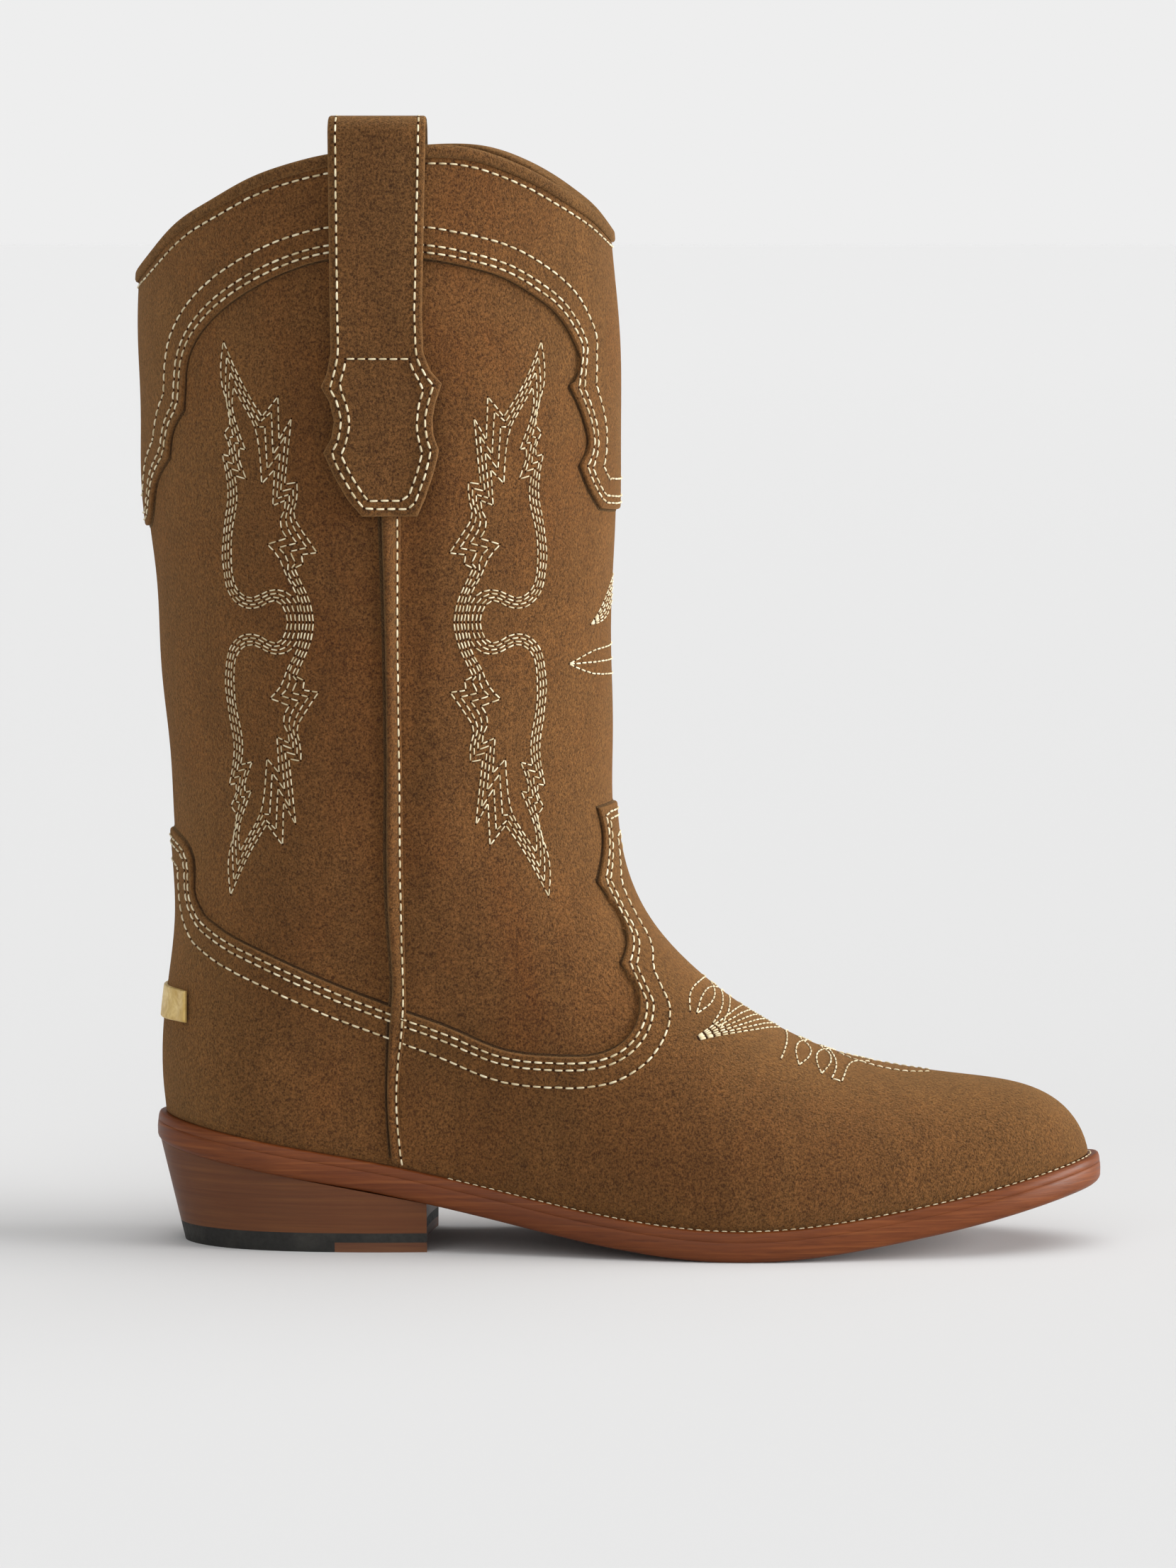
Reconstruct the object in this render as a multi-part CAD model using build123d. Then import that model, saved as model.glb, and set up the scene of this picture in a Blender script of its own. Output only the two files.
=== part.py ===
"""Women's western boot, right foot, about EU 38, every piece as its own closed solid.

Millimetres. +X points to the toe, +Z is up and +Y is the inner (medial) side.
The origin is the centre of the flat underside of the heel, on the floor.
"""
import math
import os

import numpy as np
from build123d import *

# Leather layers, as distances out from the outside of the shaft leather
LINING = (-2.6, -1.7)
SHAFT = (-1.4, -0.1)
OVERLAY = (0.2, 1.4)
PIPING = (0.2, 2.4)
TAB = (1.7, 2.6)
BINDING = (-3.7, -2.9, 1.7, 2.5)
LOOSE = 0.4

# Sole and heel
WELT = 2.8
OUTSOLE = 6.2
INSOLE = 2.6
SOCK = 1.0
TOP_LIFT = 5.7
INSERT = 2.9
LIFT = 5.3
LIFTS = 4
BREAST_X = 37.0
INSERT_X = 10.0
SHANK_SIZE = (100.0, 13.0, 1.2)
SHANK_X = 25.0
CORK_X = 80.0
NAIL_RADIUS = 1.0

# Side view: centre line of the front and of the back, from below the sole to above the rim
FRONT = [(230.3, 10), (230.2, 20), (229.4, 28), (226.8, 34.5), (221.5, 40.5), (213, 45), (203, 47.3),
         (190, 48.8), (172, 51.4), (155, 55.6), (140, 62), (125.5, 71), (112.5, 81.5), (103, 92),
         (96.5, 102.5), (92.4, 114), (90.6, 127), (90.2, 150), (90, 175), (90.8, 200), (91.6, 230),
         (91.2, 255), (90, 280), (88.4, 300), (87.5, 320), (87, 350)]
BACK = [(-40.4, 10), (-40.6, 38), (-41.6, 48), (-41.5, 62), (-39.8, 78), (-38.3, 94), (-38.3, 110),
        (-39.2, 126), (-41.4, 156), (-44.6, 198), (-47, 225), (-47.6, 250), (-47.4, 280), (-46.8, 300),
        (-46.2, 320), (-46, 350)]

# Height of the line where the upper meets the welt, along X
FEATHER = [(-60, 41.7), (-42, 38.3), (-20, 34.2), (0, 30.5), (20, 26.9), (40, 22.8), (60, 18.4), (80, 14.2),
           (100, 10.9), (115, 9.3), (130, 8.8), (150, 10.0), (175, 13.8), (200, 18.8), (222, 24.2), (245, 30)]

# Half widths: of the shaft by height, of the foot by length, and how fast the top of the foot rounds over
SHAFT_HALF = [(40, 38), (80, 39), (105, 40), (130, 42), (160, 44.5), (200, 47.5), (250, 49.8), (300, 50.8),
              (350, 51)]
OUTER_HALF = [(-45, 29), (0, 29.5), (30, 28.5), (55, 30), (85, 36), (115, 41.5), (140, 42), (165, 38.5),
              (190, 33), (210, 27), (222, 22.5), (232, 18.5)]
INNER_HALF = [(-45, 28.5), (0, 29), (30, 27), (60, 26.5), (90, 33), (120, 40.5), (145, 42), (165, 39),
              (190, 32), (210, 25.5), (222, 21), (232, 17)]
ROUNDING = [(-60, 67), (60, 67), (90, 66), (103, 62), (125, 52), (140, 45), (172, 34), (190, 31), (205, 28),
            (215, 26), (232, 22)]
LEDGE = [(-45, 2.6), (20, 2.4), (60, 2.6), (110, 3.6), (235, 3.4)]
TOE_SWING = 3.0

# Edges of the panels in side view
RIM = [(-60, 266), (-50, 282.5), (-42.8, 291), (-34.6, 299.6), (-24.4, 306.4), (-12.5, 313), (-1, 317.2),
       (9.3, 319.8), (25, 321.8), (39.4, 322.8), (51, 321.9), (62, 318.2), (70.9, 313.5), (77.4, 309.1),
       (84.1, 303.6), (89.1, 297.3), (97, 285.5)]
SEAM_X = 28.7
PIPING_X = (26.2, 31.2)
COLLAR_FRONT_EDGE = [(31.2, 291.5), (51.1, 288.5), (60, 285.7), (68.9, 280.4), (75.5, 274.6), (79.5, 266),
                     (80.5, 254), (82.5, 240), (83.5, 230), (86.5, 221), (97, 212)]
COLLAR_BACK_EDGE = [(26.2, 291.5), (10.5, 290.8), (-1, 287.4), (-12.7, 281.6), (-22.3, 274.7), (-28.5, 267.7),
                    (-31.5, 260.7), (-33, 247), (-36.5, 239), (-38.5, 231), (-42.5, 222), (-52, 208)]
VAMP_EDGE = [(31.2, 72), (48.3, 65.1), (57.9, 61.1), (75.7, 58.8), (91.1, 60.6), (97.5, 67), (98.4, 76),
             (95.8, 88), (91.5, 100), (88, 110), (88, 120), (90, 128), (97, 134)]
COUNTER_EDGE = [(-52, 128), (-39.5, 122.8), (-34, 118.8), (-31.8, 111.3), (-29.5, 101.5), (-21.5, 94.5),
                (-11.6, 89.4), (-0.6, 84.5), (15.7, 77.5), (26.2, 73.7)]
SHAFT_FRONT_FOOT = [(28.9, 62), (46, 54), (60, 50.5), (78, 49.5), (96, 52.5), (106, 61), (109, 72), (112, 92)]
SHAFT_BACK_FOOT = [(28.5, 62), (14, 66.5), (0, 73), (-12, 78.5), (-24, 84.5), (-36, 92), (-52, 100)]
TOE_BOX_X = 172.0

# Pull straps: half width by height on the outer leg, which ends below in a scalloped shield. The inner
# strap leans back towards its top.
STRAP_X = 25.5
STRAP_LEAN = {-1: 0.0, 1: -6.5}
STRAP_THICK = 2.0
STRAP_LEGS = (3.8, -4.9)
STRAP_BEND_Z = 326.5
STRAP_INSIDE_Z = 272.0
STRAP_HALF = [(217, 8.5), (220, 11), (226, 14.2), (235, 16.8), (243, 15.2), (250, 15.4), (257, 16.9),
              (266, 14.9), (275, 14.2), (300, 14.2), (320, 14.2)]

# Plan of the heel: half of the D at the floor and at the top
HEEL_LOW = [(37, 26.5), (20, 27.8), (0, 27), (-18, 22.5), (-31, 13), (-36.5, 0)]
HEEL_HIGH = [(37, 30.3), (20, 31.1), (0, 30.7), (-20, 26.8), (-37, 16), (-44.2, 0)]
HEEL_HIGH_Z = 32.0


def curve(points):
    """Natural cubic spline y(x) through the points, level with its ends outside them."""
    x, y = np.array(points, float).T
    h = np.diff(x)
    rows = np.eye(len(x))
    side = np.zeros(len(x))
    for i in range(1, len(x) - 1):
        rows[i, i - 1:i + 2] = h[i - 1], 2 * (h[i - 1] + h[i]), h[i]
        side[i] = 6 * ((y[i + 1] - y[i]) / h[i] - (y[i] - y[i - 1]) / h[i - 1])
    bend = np.linalg.solve(rows, side)

    def at(q):
        q = np.clip(q, x[0], x[-1])
        i = np.clip(np.searchsorted(x, q) - 1, 0, len(h) - 1)
        a, b, s = q - x[i], x[i + 1] - q, h[i]
        cubic = (bend[i] * b ** 3 + bend[i + 1] * a ** 3) / (6 * s)
        return cubic + (y[i] / s - bend[i] * s / 6) * b + (y[i + 1] / s - bend[i + 1] * s / 6) * a
    return at


def along(line):
    """Distance along a polyline as a fraction of its length."""
    steps = np.linalg.norm(np.diff(line, axis=0), axis=1)
    return np.r_[0, np.cumsum(steps)] / steps.sum()


def smooth_line(points, count):
    """Evenly spaced points on a smooth line through the points."""
    points = np.array(points, float)
    t = along(points)
    fine = np.linspace(0, 1, 20 * count)
    line = np.stack([curve(np.c_[t, points[:, k]])(fine) for k in (0, 1)], 1)
    even = np.linspace(0, 1, count)
    return np.stack([np.interp(even, along(line), line[:, k]) for k in (0, 1)], 1)


def profile(points):
    """A side view line carried on straight down and up past the ends of the boot."""
    line = smooth_line(points, 600)
    below = [(line[0, 0], z) for z in np.linspace(-60, line[0, 1] - 3, 9)]
    above = [(line[-1, 0], z) for z in np.linspace(line[-1, 1] + 3, 420, 9)]
    return np.vstack([below, line, above])


front = profile(FRONT)
back = profile(BACK)
feather = curve(FEATHER)
shaft_half = curve(SHAFT_HALF)
outer_half = curve(OUTER_HALF)
inner_half = curve(INNER_HALF)
rounding = curve(ROUNDING)
ledge = curve(LEDGE)


def distance(x, z, line):
    """Distance to a profile, blended so that it stays smooth where the profile bends."""
    middle = (line[1:] + line[:-1]) / 2
    steps = np.linalg.norm(np.diff(line, axis=0), axis=1)
    gap = (np.ravel(x)[:, None] - middle[:, 0]) ** 2 + (np.ravel(z)[:, None] - middle[:, 1]) ** 2 + 1e-6
    return ((math.pi / 2 / (steps / gap ** 2).sum(1)) ** (1 / 3)).reshape(np.shape(x))


def ease(low, high, x):
    t = np.clip((x - low) / (high - low), 0, 1)
    return t * t * (3 - 2 * t)


def arch(t):
    """Quarter circle from 0 to 1."""
    return np.sqrt(1 - (1 - np.clip(t, 0, 1)) ** 2)


def centre(x):
    """Y of the middle of the boot: the toe swings inwards."""
    return TOE_SWING * ease(110, 232, x)


def half_width(x, z, side):
    """Half width of the boot at a point of the side view; side is -1 outer or 1 inner."""
    foot = outer_half(x) if side < 0 else inner_half(x)
    height = z - feather(x)
    foot = foot * (1 - 0.07 * np.exp(-np.clip(height, 0, 99) / 5))
    full = foot + (shaft_half(z) - foot) * ease(15, 95, height)
    heel = 36 + 30 * ease(45, 150, z)
    return full * arch(distance(x, z, front) / rounding(x)) * arch(distance(x, z, back) / heel)


def arc_points(line, shares):
    """Points of a polyline at shares of its length."""
    line = np.array(line, float)
    return np.stack([np.interp(shares, along(line), line[:, k]) for k in (0, 1)], -1)


def stretch(line, start, end):
    """The stretch of a profile between the spots nearest to two points."""
    i, j = (int(np.argmin(((line - p) ** 2).sum(1))) for p in (start, end))
    return line[i:j + 1] if i <= j else line[j:i + 1][::-1]


def clipped(edge, line):
    """The part of an edge inside the boot, starting on the front or back profile."""
    edge = np.array(edge, float)
    limit = np.interp(edge[:, 1], line[:, 1], line[:, 0])
    gap = (limit - edge[:, 0]) * np.sign(limit - SEAM_X)
    first = int(np.argmax(gap > 0))
    if first == 0:
        return edge
    share = gap[first] / (gap[first] - gap[first - 1])
    return np.vstack([edge[first] + share * (edge[first - 1] - edge[first]), edge[first:]])


def settled(grid, share, rounds=300):
    """The grid with its inside points evened out, its border kept, so that no cell folds over."""
    if grid.shape[1] < 3:
        return grid
    before, after = np.diff(share, axis=0)[:-1], np.diff(share, axis=0)[1:]
    for _ in range(rounds):
        inner = grid[1:-1, 1:-1]
        across = (grid[2:, 1:-1] - grid[:-2, 1:-1]) / (before + after)
        up = (grid[1:-1, 2:] - grid[1:-1, :-2]) / 2
        skew = (grid[2:, 2:] - grid[2:, :-2] - grid[:-2, 2:] + grid[:-2, :-2]) / (2 * (before + after))
        a, b, c = ((up * up).sum(-1, keepdims=True), (up * across).sum(-1, keepdims=True),
                   (across * across).sum(-1, keepdims=True))
        sides = 2 * (grid[2:, 1:-1] / after + grid[:-2, 1:-1] / before) / (before + after)
        ends = grid[1:-1, 2:] + grid[1:-1, :-2]
        target = (a * sides + c * ends - 2 * b * skew) / (2 * a / (before * after) + 2 * c)
        grid[1:-1, 1:-1] = inner + 0.7 * (target - inner)
    return grid


def patch(low, high, line, across=12, up=20):
    """Side view grid of a panel that wraps round the front or the back of the boot.

    The low and high edges both run from the profile line to the side seam. Rows of the grid run
    across from the profile, columns run up.
    """
    share = (1 - np.cos(np.linspace(0, math.pi / 2, across + 1)))[:, None, None]
    rise = np.linspace(0, 1, up + 1)[None, :, None]
    low, high = clipped(low, line), clipped(high, line)
    nose = np.vstack([low[:1], stretch(line, low[0], high[0])[1:-1], high[:1]])
    bottom = arc_points(low, share[:, :, 0])
    top = arc_points(high, share[:, :, 0])
    middle = arc_points(nose, rise[0, :, 0])[None]
    seam = np.array([low[-1], high[-1]])
    seam = (1 - rise) * seam[0] + rise * seam[1]
    corners = ((1 - rise) * low[0] + rise * high[0], (1 - rise) * low[-1] + rise * high[-1])
    flat = (1 - rise) * bottom + rise * top
    return settled(flat + (1 - share) * (middle - corners[0]) + share * (seam - corners[1]), share)


def spread(points, side):
    """Side view points carried out to the shaft face on one side."""
    x, z = points[..., 0], points[..., 1]
    return np.stack([x, centre(x) + side * half_width(x, z, side), z], -1)


def wrapped(flat):
    """A side view grid carried round the boot, from the outer seam to the inner seam."""
    outer, inner = spread(flat, -1), spread(flat, 1)
    outer[0, :, 1] = centre(outer[0, :, 0])
    return np.vstack([outer[::-1], inner[1:]])


def moved(grid, offset):
    """A grid of points moved out along its normals."""
    across, up = np.gradient(grid, axis=0), np.gradient(grid, axis=1)
    normal = np.cross(across, up)
    inside = np.array([22, 0, grid[..., 2].mean()])
    normal *= np.sign((normal * (grid - inside)).sum())
    return grid + offset * normal / np.linalg.norm(normal, axis=-1, keepdims=True)


def sheet(outside, inside):
    """A closed sheet between two grids of points, ruled from row to row."""
    wires = []
    for over, under in zip(np.moveaxis(outside, 1, 0), np.moveaxis(inside, 1, 0)):
        face, rear = (Edge.make_spline([Vector(*p) for p in row]) for row in (over, under))
        wires.append(Wire([face, Edge.make_line(face @ 1, rear @ 1), rear, Edge.make_line(rear @ 0, face @ 0)]))
    ends = []
    for row in (0, -1):
        face, rear = (Edge.make_spline([Vector(*p) for p in grid[:, row]]) for grid in (outside, inside))
        ends.append(Face.make_surface_from_curves(face, rear))
    tube = Shell.make_loft(wires, ruled=True)
    return Solid(Shell([*tube.faces(), *ends]))


def plate(grid, low, high):
    """A sheet of leather that fills the space over a grid between two offsets."""
    return sheet(moved(grid, high), moved(grid, low))


def feather_run(start, end, drop=0.0):
    """Points of the feather line between two X, lowered by drop."""
    return [(x, float(feather(x)) - drop) for x in np.linspace(start, end, 60)]


def rim_run(start, end, drop=0.0):
    """Points of the rim between two X, lowered by drop."""
    height = curve(RIM)
    return [(x, float(height(x)) - drop) for x in np.linspace(start, end, 60)]


def uppers():
    """Leather panels, stiffeners and linings."""
    ahead, behind = SEAM_X + LOOSE / 2, SEAM_X - LOOSE / 2
    toe = feather_run(235, ahead, -LOOSE)
    heel = feather_run(-50, behind, -LOOSE)
    front_foot = smooth_line(SHAFT_FRONT_FOOT[::-1], 60)
    back_foot = smooth_line(SHAFT_BACK_FOOT[::-1], 60)
    toe_cut = feather_run(TOE_BOX_X, ahead, -LOOSE)
    ridge = (TOE_BOX_X, 52)
    toe_end = TOE_BOX_X + LOOSE
    collar_front = smooth_line(COLLAR_FRONT_EDGE[::-1], 90)
    collar_back = smooth_line(COLLAR_BACK_EDGE[::-1], 90)
    vamp = smooth_line(VAMP_EDGE[::-1], 90)
    counter = smooth_line(COUNTER_EDGE, 90)
    shaft_front = patch(front_foot, rim_run(95, ahead, LOOSE), front)
    shaft_back = patch(back_foot, rim_run(-55, behind, LOOSE), back)
    low, high = PIPING_X[0] - LOOSE, PIPING_X[1] + LOOSE
    sheets = {
        "shaft_front": (shaft_front, SHAFT),
        "shaft_back": (shaft_back, SHAFT),
        "vamp_interlining": (patch([ridge, (TOE_BOX_X, 13.5), *toe_cut], front_foot, front), SHAFT),
        "toe_box": (patch(feather_run(235, toe_end, -LOOSE), [(toe_end, 52), (toe_end, 32)], front), SHAFT),
        "heel_counter": (patch(heel, back_foot, back), SHAFT),
        "lining_front": (shaft_front, LINING),
        "vamp_lining": (patch(toe, front_foot, front), LINING),
        "lining_back": (patch(heel, rim_run(-55, behind, LOOSE), back), LINING),
        "vamp": (patch(feather_run(235, high, -LOOSE), vamp, front, 24, 24), OVERLAY),
        "counter_cover": (patch(feather_run(-50, low, -LOOSE), counter, back, 20, 14), OVERLAY),
        "collar_front": (patch(collar_front, rim_run(95, high, LOOSE), front, 24, 10), OVERLAY),
        "collar_back": (patch(collar_back, rim_run(-55, low, LOOSE), back, 24, 10), OVERLAY),
        "heel_tab": (patch([(-46, 65), (-33, 65)], [(-46, 78), (-33, 78)], back, 6, 6), TAB),
    }
    return {name: plate(wrapped(flat), *layer) for name, (flat, layer) in sheets.items()}


def pipings():
    """The raised strips over the two side seams, from the welt up to the binding."""
    low, high = PIPING_X
    share = np.linspace(0, 1, 4)[:, None, None]
    bottom = np.array([(x, float(feather(x)) + LOOSE) for x in (low, high)])
    top = np.array([(x, float(curve(RIM)(x)) - 3 - LOOSE) for x in (low, high)])
    rise = np.linspace(0, 1, 40)[None, :, None]
    ends = [(1 - share) * line[0] + share * line[1] for line in (bottom, top)]
    flat = (1 - rise) * ends[0] + rise * ends[1]
    sides = {"side_piping_lateral": -1, "side_piping_medial": 1}
    return {name: plate(spread(flat, side), *PIPING) for name, side in sides.items()}


def binding(start, line):
    """The strip folded over the rim of one half of the shaft, in section a U."""
    flats = [patch(rim_run(start, SEAM_X, drop), rim_run(start, SEAM_X, drop - 0.5), line, 14, 1)
             for drop in (3.0, 0.0, -0.9)]
    rails = {drop: wrapped(flat) for drop, flat in zip((3.0, 0.0, -0.9), flats)}
    back_face, back_gap, front_gap, front_face = BINDING
    section = [(3.0, front_face), (-0.9, front_face), (-0.9, back_face), (3.0, back_face),
               (3.0, back_gap), (0.0, back_gap), (0.0, front_gap), (3.0, front_gap)]
    corners = np.stack([moved(rails[drop], offset)[:, 0] for drop, offset in section], 1)
    corners[[0, -1], :, 0] = SEAM_X
    wires = [Wire.make_polygon([Vector(*p) for p in ring], close=True) for ring in corners]
    return Solid.make_loft(wires, ruled=True)


def bindings():
    return {"top_binding_front": binding(95, front), "top_binding_back": binding(-55, back)}


def prism(*runs, y=(-120, 120)):
    """A side view outline carried across the boot; runs of three or more points are smooth."""
    edges = []
    for i, run in enumerate(runs):
        points = [Vector(x, y[0], z) for x, z in run]
        edges.append(Edge.make_spline(points) if len(points) > 2 else Edge.make_line(*points))
        x, z = runs[(i + 1) % len(runs)][0]
        following = Vector(x, y[0], z)
        if (following - points[-1]).length > 1e-6:
            edges.append(Edge.make_line(points[-1], following))
    return Solid.extrude(Face(Wire(edges)), Vector(0, y[1] - y[0], 0))


def solids(shape):
    parts = shape.solids()
    return parts[0] if len(parts) == 1 else Compound(parts)


def strap_path():
    """Centre of the strap's thickness as (offset, height, direction across, half width)."""
    out, inside = STRAP_LEGS
    radius = (out - inside) / 2
    middle = (out + inside) / 2
    path = [(out, z, 0.0, half) for z, half in STRAP_HALF]
    for angle in range(0, 181, 30):
        turn = math.radians(angle)
        path.append((middle + radius * math.cos(turn), STRAP_BEND_Z + radius * math.sin(turn), turn, 14.2))
    path += [(inside, z, math.pi, 14.2) for z in (315, 300, STRAP_INSIDE_Z)]
    return path


def strap(side):
    """One pull strap: up the outside, over the rim with a finger gap, and down the inside."""
    faces = []
    for thick in (STRAP_THICK / 2, -STRAP_THICK / 2):
        rows = []
        for offset, height, turn, half in strap_path():
            out = offset + thick * math.cos(turn)
            z = np.full(5, height + thick * math.sin(turn))
            x = STRAP_X + STRAP_LEAN[side] * ease(262, 331, height) + half * np.linspace(-1, 1, 5)
            rows.append(np.stack([x, centre(x) + side * (half_width(x, z, side) + out), z], -1))
        faces.append(np.stack(rows, 1))
    return sheet(*faces)


def footprint(offset):
    """Plan outline of the upper where it meets the welt, moved out by an offset or by a curve of X."""
    u = np.linspace(0, 1, 25)
    low = np.array([[230.1, 0], [-40.6, 0]])
    x = low[0, 0] + (low[1, 0] - low[0, 0]) * (1 - np.cos(math.pi * u)) / 2
    ring = []
    for side in (-1, 1):
        y = centre(x) + side * half_width(x, feather(x), side)
        y[[0, -1]] = centre(x[[0, -1]])
        points = np.c_[x, y]
        ring.append(points if side < 0 else points[-2:0:-1])
    ring = np.vstack(ring)
    way = np.roll(ring, -1, 0) - np.roll(ring, 1, 0)
    out = np.c_[-way[:, 1], way[:, 0]] / np.linalg.norm(way, axis=1, keepdims=True)
    gap = offset(ring[:, 0]) if callable(offset) else offset
    return ring + out * np.reshape(gap, (-1, 1)) * np.ones((len(ring), 1))


def plan(offset, low=-30.0, high=70.0):
    """The plan outline as an upright block."""
    points = [Vector(x, y, low) for x, y in footprint(offset)[::2]]
    return Solid.extrude(Face(Wire([Edge.make_spline(points, periodic=True)])), Vector(0, 0, high - low))


def slab(top, bottom, start=-80.0, end=260.0):
    """The band between two depths under the feather line; a depth above it is negative."""
    return prism(feather_run(start, end, top)[::4], feather_run(end, start, bottom)[::4])


def sole_edge(x):
    return OVERLAY[1] + ledge(x)


def heel_block():
    """The heel as one D-shaped block, flared to the seat, with a hollowed breast."""
    wires = []
    for points, z in ((HEEL_LOW, 0.0), (HEEL_HIGH, HEEL_HIGH_Z)):
        ring = [Vector(x, -y, z) for x, y in points] + [Vector(x, y, z) for x, y in points[-2::-1]]
        hollow = Vector(BREAST_X - 2, 0, z)
        wires.append(Wire([Edge.make_spline(ring), Edge.make_three_point_arc(ring[-1], hollow, ring[0])]))
    return Solid.make_loft(wires, ruled=True)


def level(low, high):
    """A level slice of space between two heights."""
    return Pos(0, 0, (low + high) / 2) * Box(700, 300, high - low)


def nails():
    """Five nails that hold the heel to the sole, driven down from inside."""
    spots = [(24, -14), (24, 14), (-4, -17), (-4, 17), (-24, 0)]
    made = []
    for x, y in spots:
        top = float(feather(x)) - 0.1
        made.append(Pos(x, y, (top + 9) / 2) * Cylinder(NAIL_RADIUS, top - 9))
    return made


def bottoms():
    """Insole, shank, filler, welt, outsole and the stacked heel."""
    inside = plan(LINING[0] - LOOSE)
    edge = plan(sole_edge)
    fixings = Compound(nails())
    shank = Pos(SHANK_X, 0, 0) * Box(SHANK_SIZE[0], SHANK_SIZE[1], 200) & slab(1.0, 1.0 + SHANK_SIZE[2])
    outsole = (edge & slab(WELT, WELT + OUTSOLE)) & level(0, 60)
    heel = heel_block() & prism(feather_run(-80, 260, WELT + OUTSOLE)[::4], [(260, -5), (-80, -5)])
    insert = heel & Pos(INSERT_X + 50, 0, INSERT / 2) * Box(100, 200, INSERT)
    parts = {
        "insole": inside & slab(-INSOLE, 0),
        "sock_liner": inside & slab(-INSOLE - SOCK, -INSOLE),
        "shank": shank,
        "cork_filler": (inside & slab(0.05, WELT - 0.05)) & Pos(CORK_X + 200, 0, 0) * Box(400, 200, 200),
        "welt": (edge & slab(0, WELT)) - inside,
        "outsole": outsole - fixings,
        "top_lift_leather": insert,
        "top_lift_rubber": (heel & level(0, TOP_LIFT)) - insert,
        "heel_nails": fixings,
    }
    for i in range(LIFTS):
        low = TOP_LIFT + i * LIFT
        high = low + LIFT if i < LIFTS - 1 else HEEL_HIGH_Z
        parts[f"heel_lift_{i + 1}"] = (heel & level(low, high)) - fixings
    return {name: solids(shape) for name, shape in parts.items()}


def main():
    os.makedirs("parts", exist_ok=True)
    parts = {**uppers(), **pipings(), **bindings(), **bottoms()}
    parts["pull_strap_lateral"] = strap(-1)
    parts["pull_strap_medial"] = strap(1)
    for name, shape in parts.items():
        export_step(shape, f"parts/{name}.step")


main()
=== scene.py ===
"""Looks of a women's western boot, right foot: suede uppers, stitching, leather sole and stacked heel.

Shapes are worked out in millimetres in the frame of the CAD model, +X to the toe, +Y to the inner
side and +Z up, and turned into metres when a mesh is made.
"""
import math

import bpy
import numpy as np
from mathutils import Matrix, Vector
from mathutils.bvhtree import BVHTree


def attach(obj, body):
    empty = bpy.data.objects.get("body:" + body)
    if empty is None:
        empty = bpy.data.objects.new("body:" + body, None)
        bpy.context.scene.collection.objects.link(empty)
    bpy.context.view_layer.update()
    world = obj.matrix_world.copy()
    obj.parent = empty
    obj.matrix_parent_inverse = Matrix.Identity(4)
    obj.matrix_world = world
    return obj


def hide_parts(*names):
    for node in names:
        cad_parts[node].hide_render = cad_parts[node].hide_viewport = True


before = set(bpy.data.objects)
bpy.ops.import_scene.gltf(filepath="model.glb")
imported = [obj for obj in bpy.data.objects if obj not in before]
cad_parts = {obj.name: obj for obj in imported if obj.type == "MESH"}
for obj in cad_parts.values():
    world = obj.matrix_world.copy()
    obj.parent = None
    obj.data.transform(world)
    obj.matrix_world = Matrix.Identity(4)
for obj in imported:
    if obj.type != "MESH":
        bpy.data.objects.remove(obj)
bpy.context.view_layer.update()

SIDES = {"lateral": -1, "medial": 1}

# Leather layers, as distances out from the surface of the boot's shape
LINING = -2.6
SHAFT = (-1.4, -0.1)
OVERLAY = (-0.1, 1.3)
TAB = (1.4, 2.4)
BINDING = (-3.6, 2.4)

# Binding: depths of its top and its lower edges under the rim; rounding and wear of leather edges
BINDING_DROP = (-0.8, 3.0)
BINDING_CORNER = 1.5
EDGE_RADIUS = 0.7
WORN_EDGE = 0.5

# Rings that carry the cut edge of a panel down and under: (height over the panel's back, distance out)
# The flange is coloured dark in the suede, as painted shade in the gap under a cut edge.
FLANGE = ((0.2, 0.0), (0.14, 0.6), (-0.15, 0.9))

# Distances in from a grid's border at which extra rows are added, and the one given to points beyond
BORDER_STEPS = (0.12, 0.32, 0.7)
WELL_INSIDE = 9.0

# Sole: thicknesses of its layers, seat of the sock liner, and thickness of the upper beside the welt
WELT = 2.8
OUTSOLE = 6.2
SOLE = WELT + OUTSOLE
INSOLE = 2.6
SOCK = 1.0
SOCK_RISE = 1.6
SOCK_INSET = 3.2
WALL = 1.4

# Sections of the sole: (distance in from its edge, depth under the feather line)
WELT_SECTION = [(7.0, 0.0), (1.7, 0.0), (1.15, 0.12), (0.8, 0.4), (0.55, 0.9), (0.35, 1.6),
                (0.22, WELT - 0.2), (0.32, WELT)]
OUTSOLE_SECTION = [(0.36, WELT), (0.2, WELT + 0.15), (0.08, WELT + 1.0), (0.0, WELT + 2.2),
                   (0.06, SOLE - 1.9), (0.3, SOLE - 1.2), (0.8, SOLE - 0.6), (1.5, SOLE - 0.2),
                   (2.4, SOLE)]

# Side view: outline of the front and of the back, and the line where the upper meets the welt
FRONT = [(230.3, 10), (230.2, 20), (229.4, 28), (226.8, 34.5), (221.5, 40.5), (213, 45), (203, 47.3),
         (190, 48.8), (172, 51.4), (155, 55.6), (140, 62), (125.5, 71), (112.5, 81.5), (103, 92),
         (96.5, 102.5), (92.4, 114), (90.6, 127), (90.2, 150), (90, 175), (90.8, 200), (91.6, 230),
         (91.2, 255), (90, 280), (88.4, 300), (87.5, 320), (87, 350)]
BACK = [(-40.4, 10), (-40.6, 38), (-41.6, 48), (-41.5, 62), (-39.8, 78), (-38.3, 94), (-38.3, 110),
        (-39.2, 126), (-41.4, 156), (-44.6, 198), (-47, 225), (-47.6, 250), (-47.4, 280), (-46.8, 300),
        (-46.2, 320), (-46, 350)]
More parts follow.
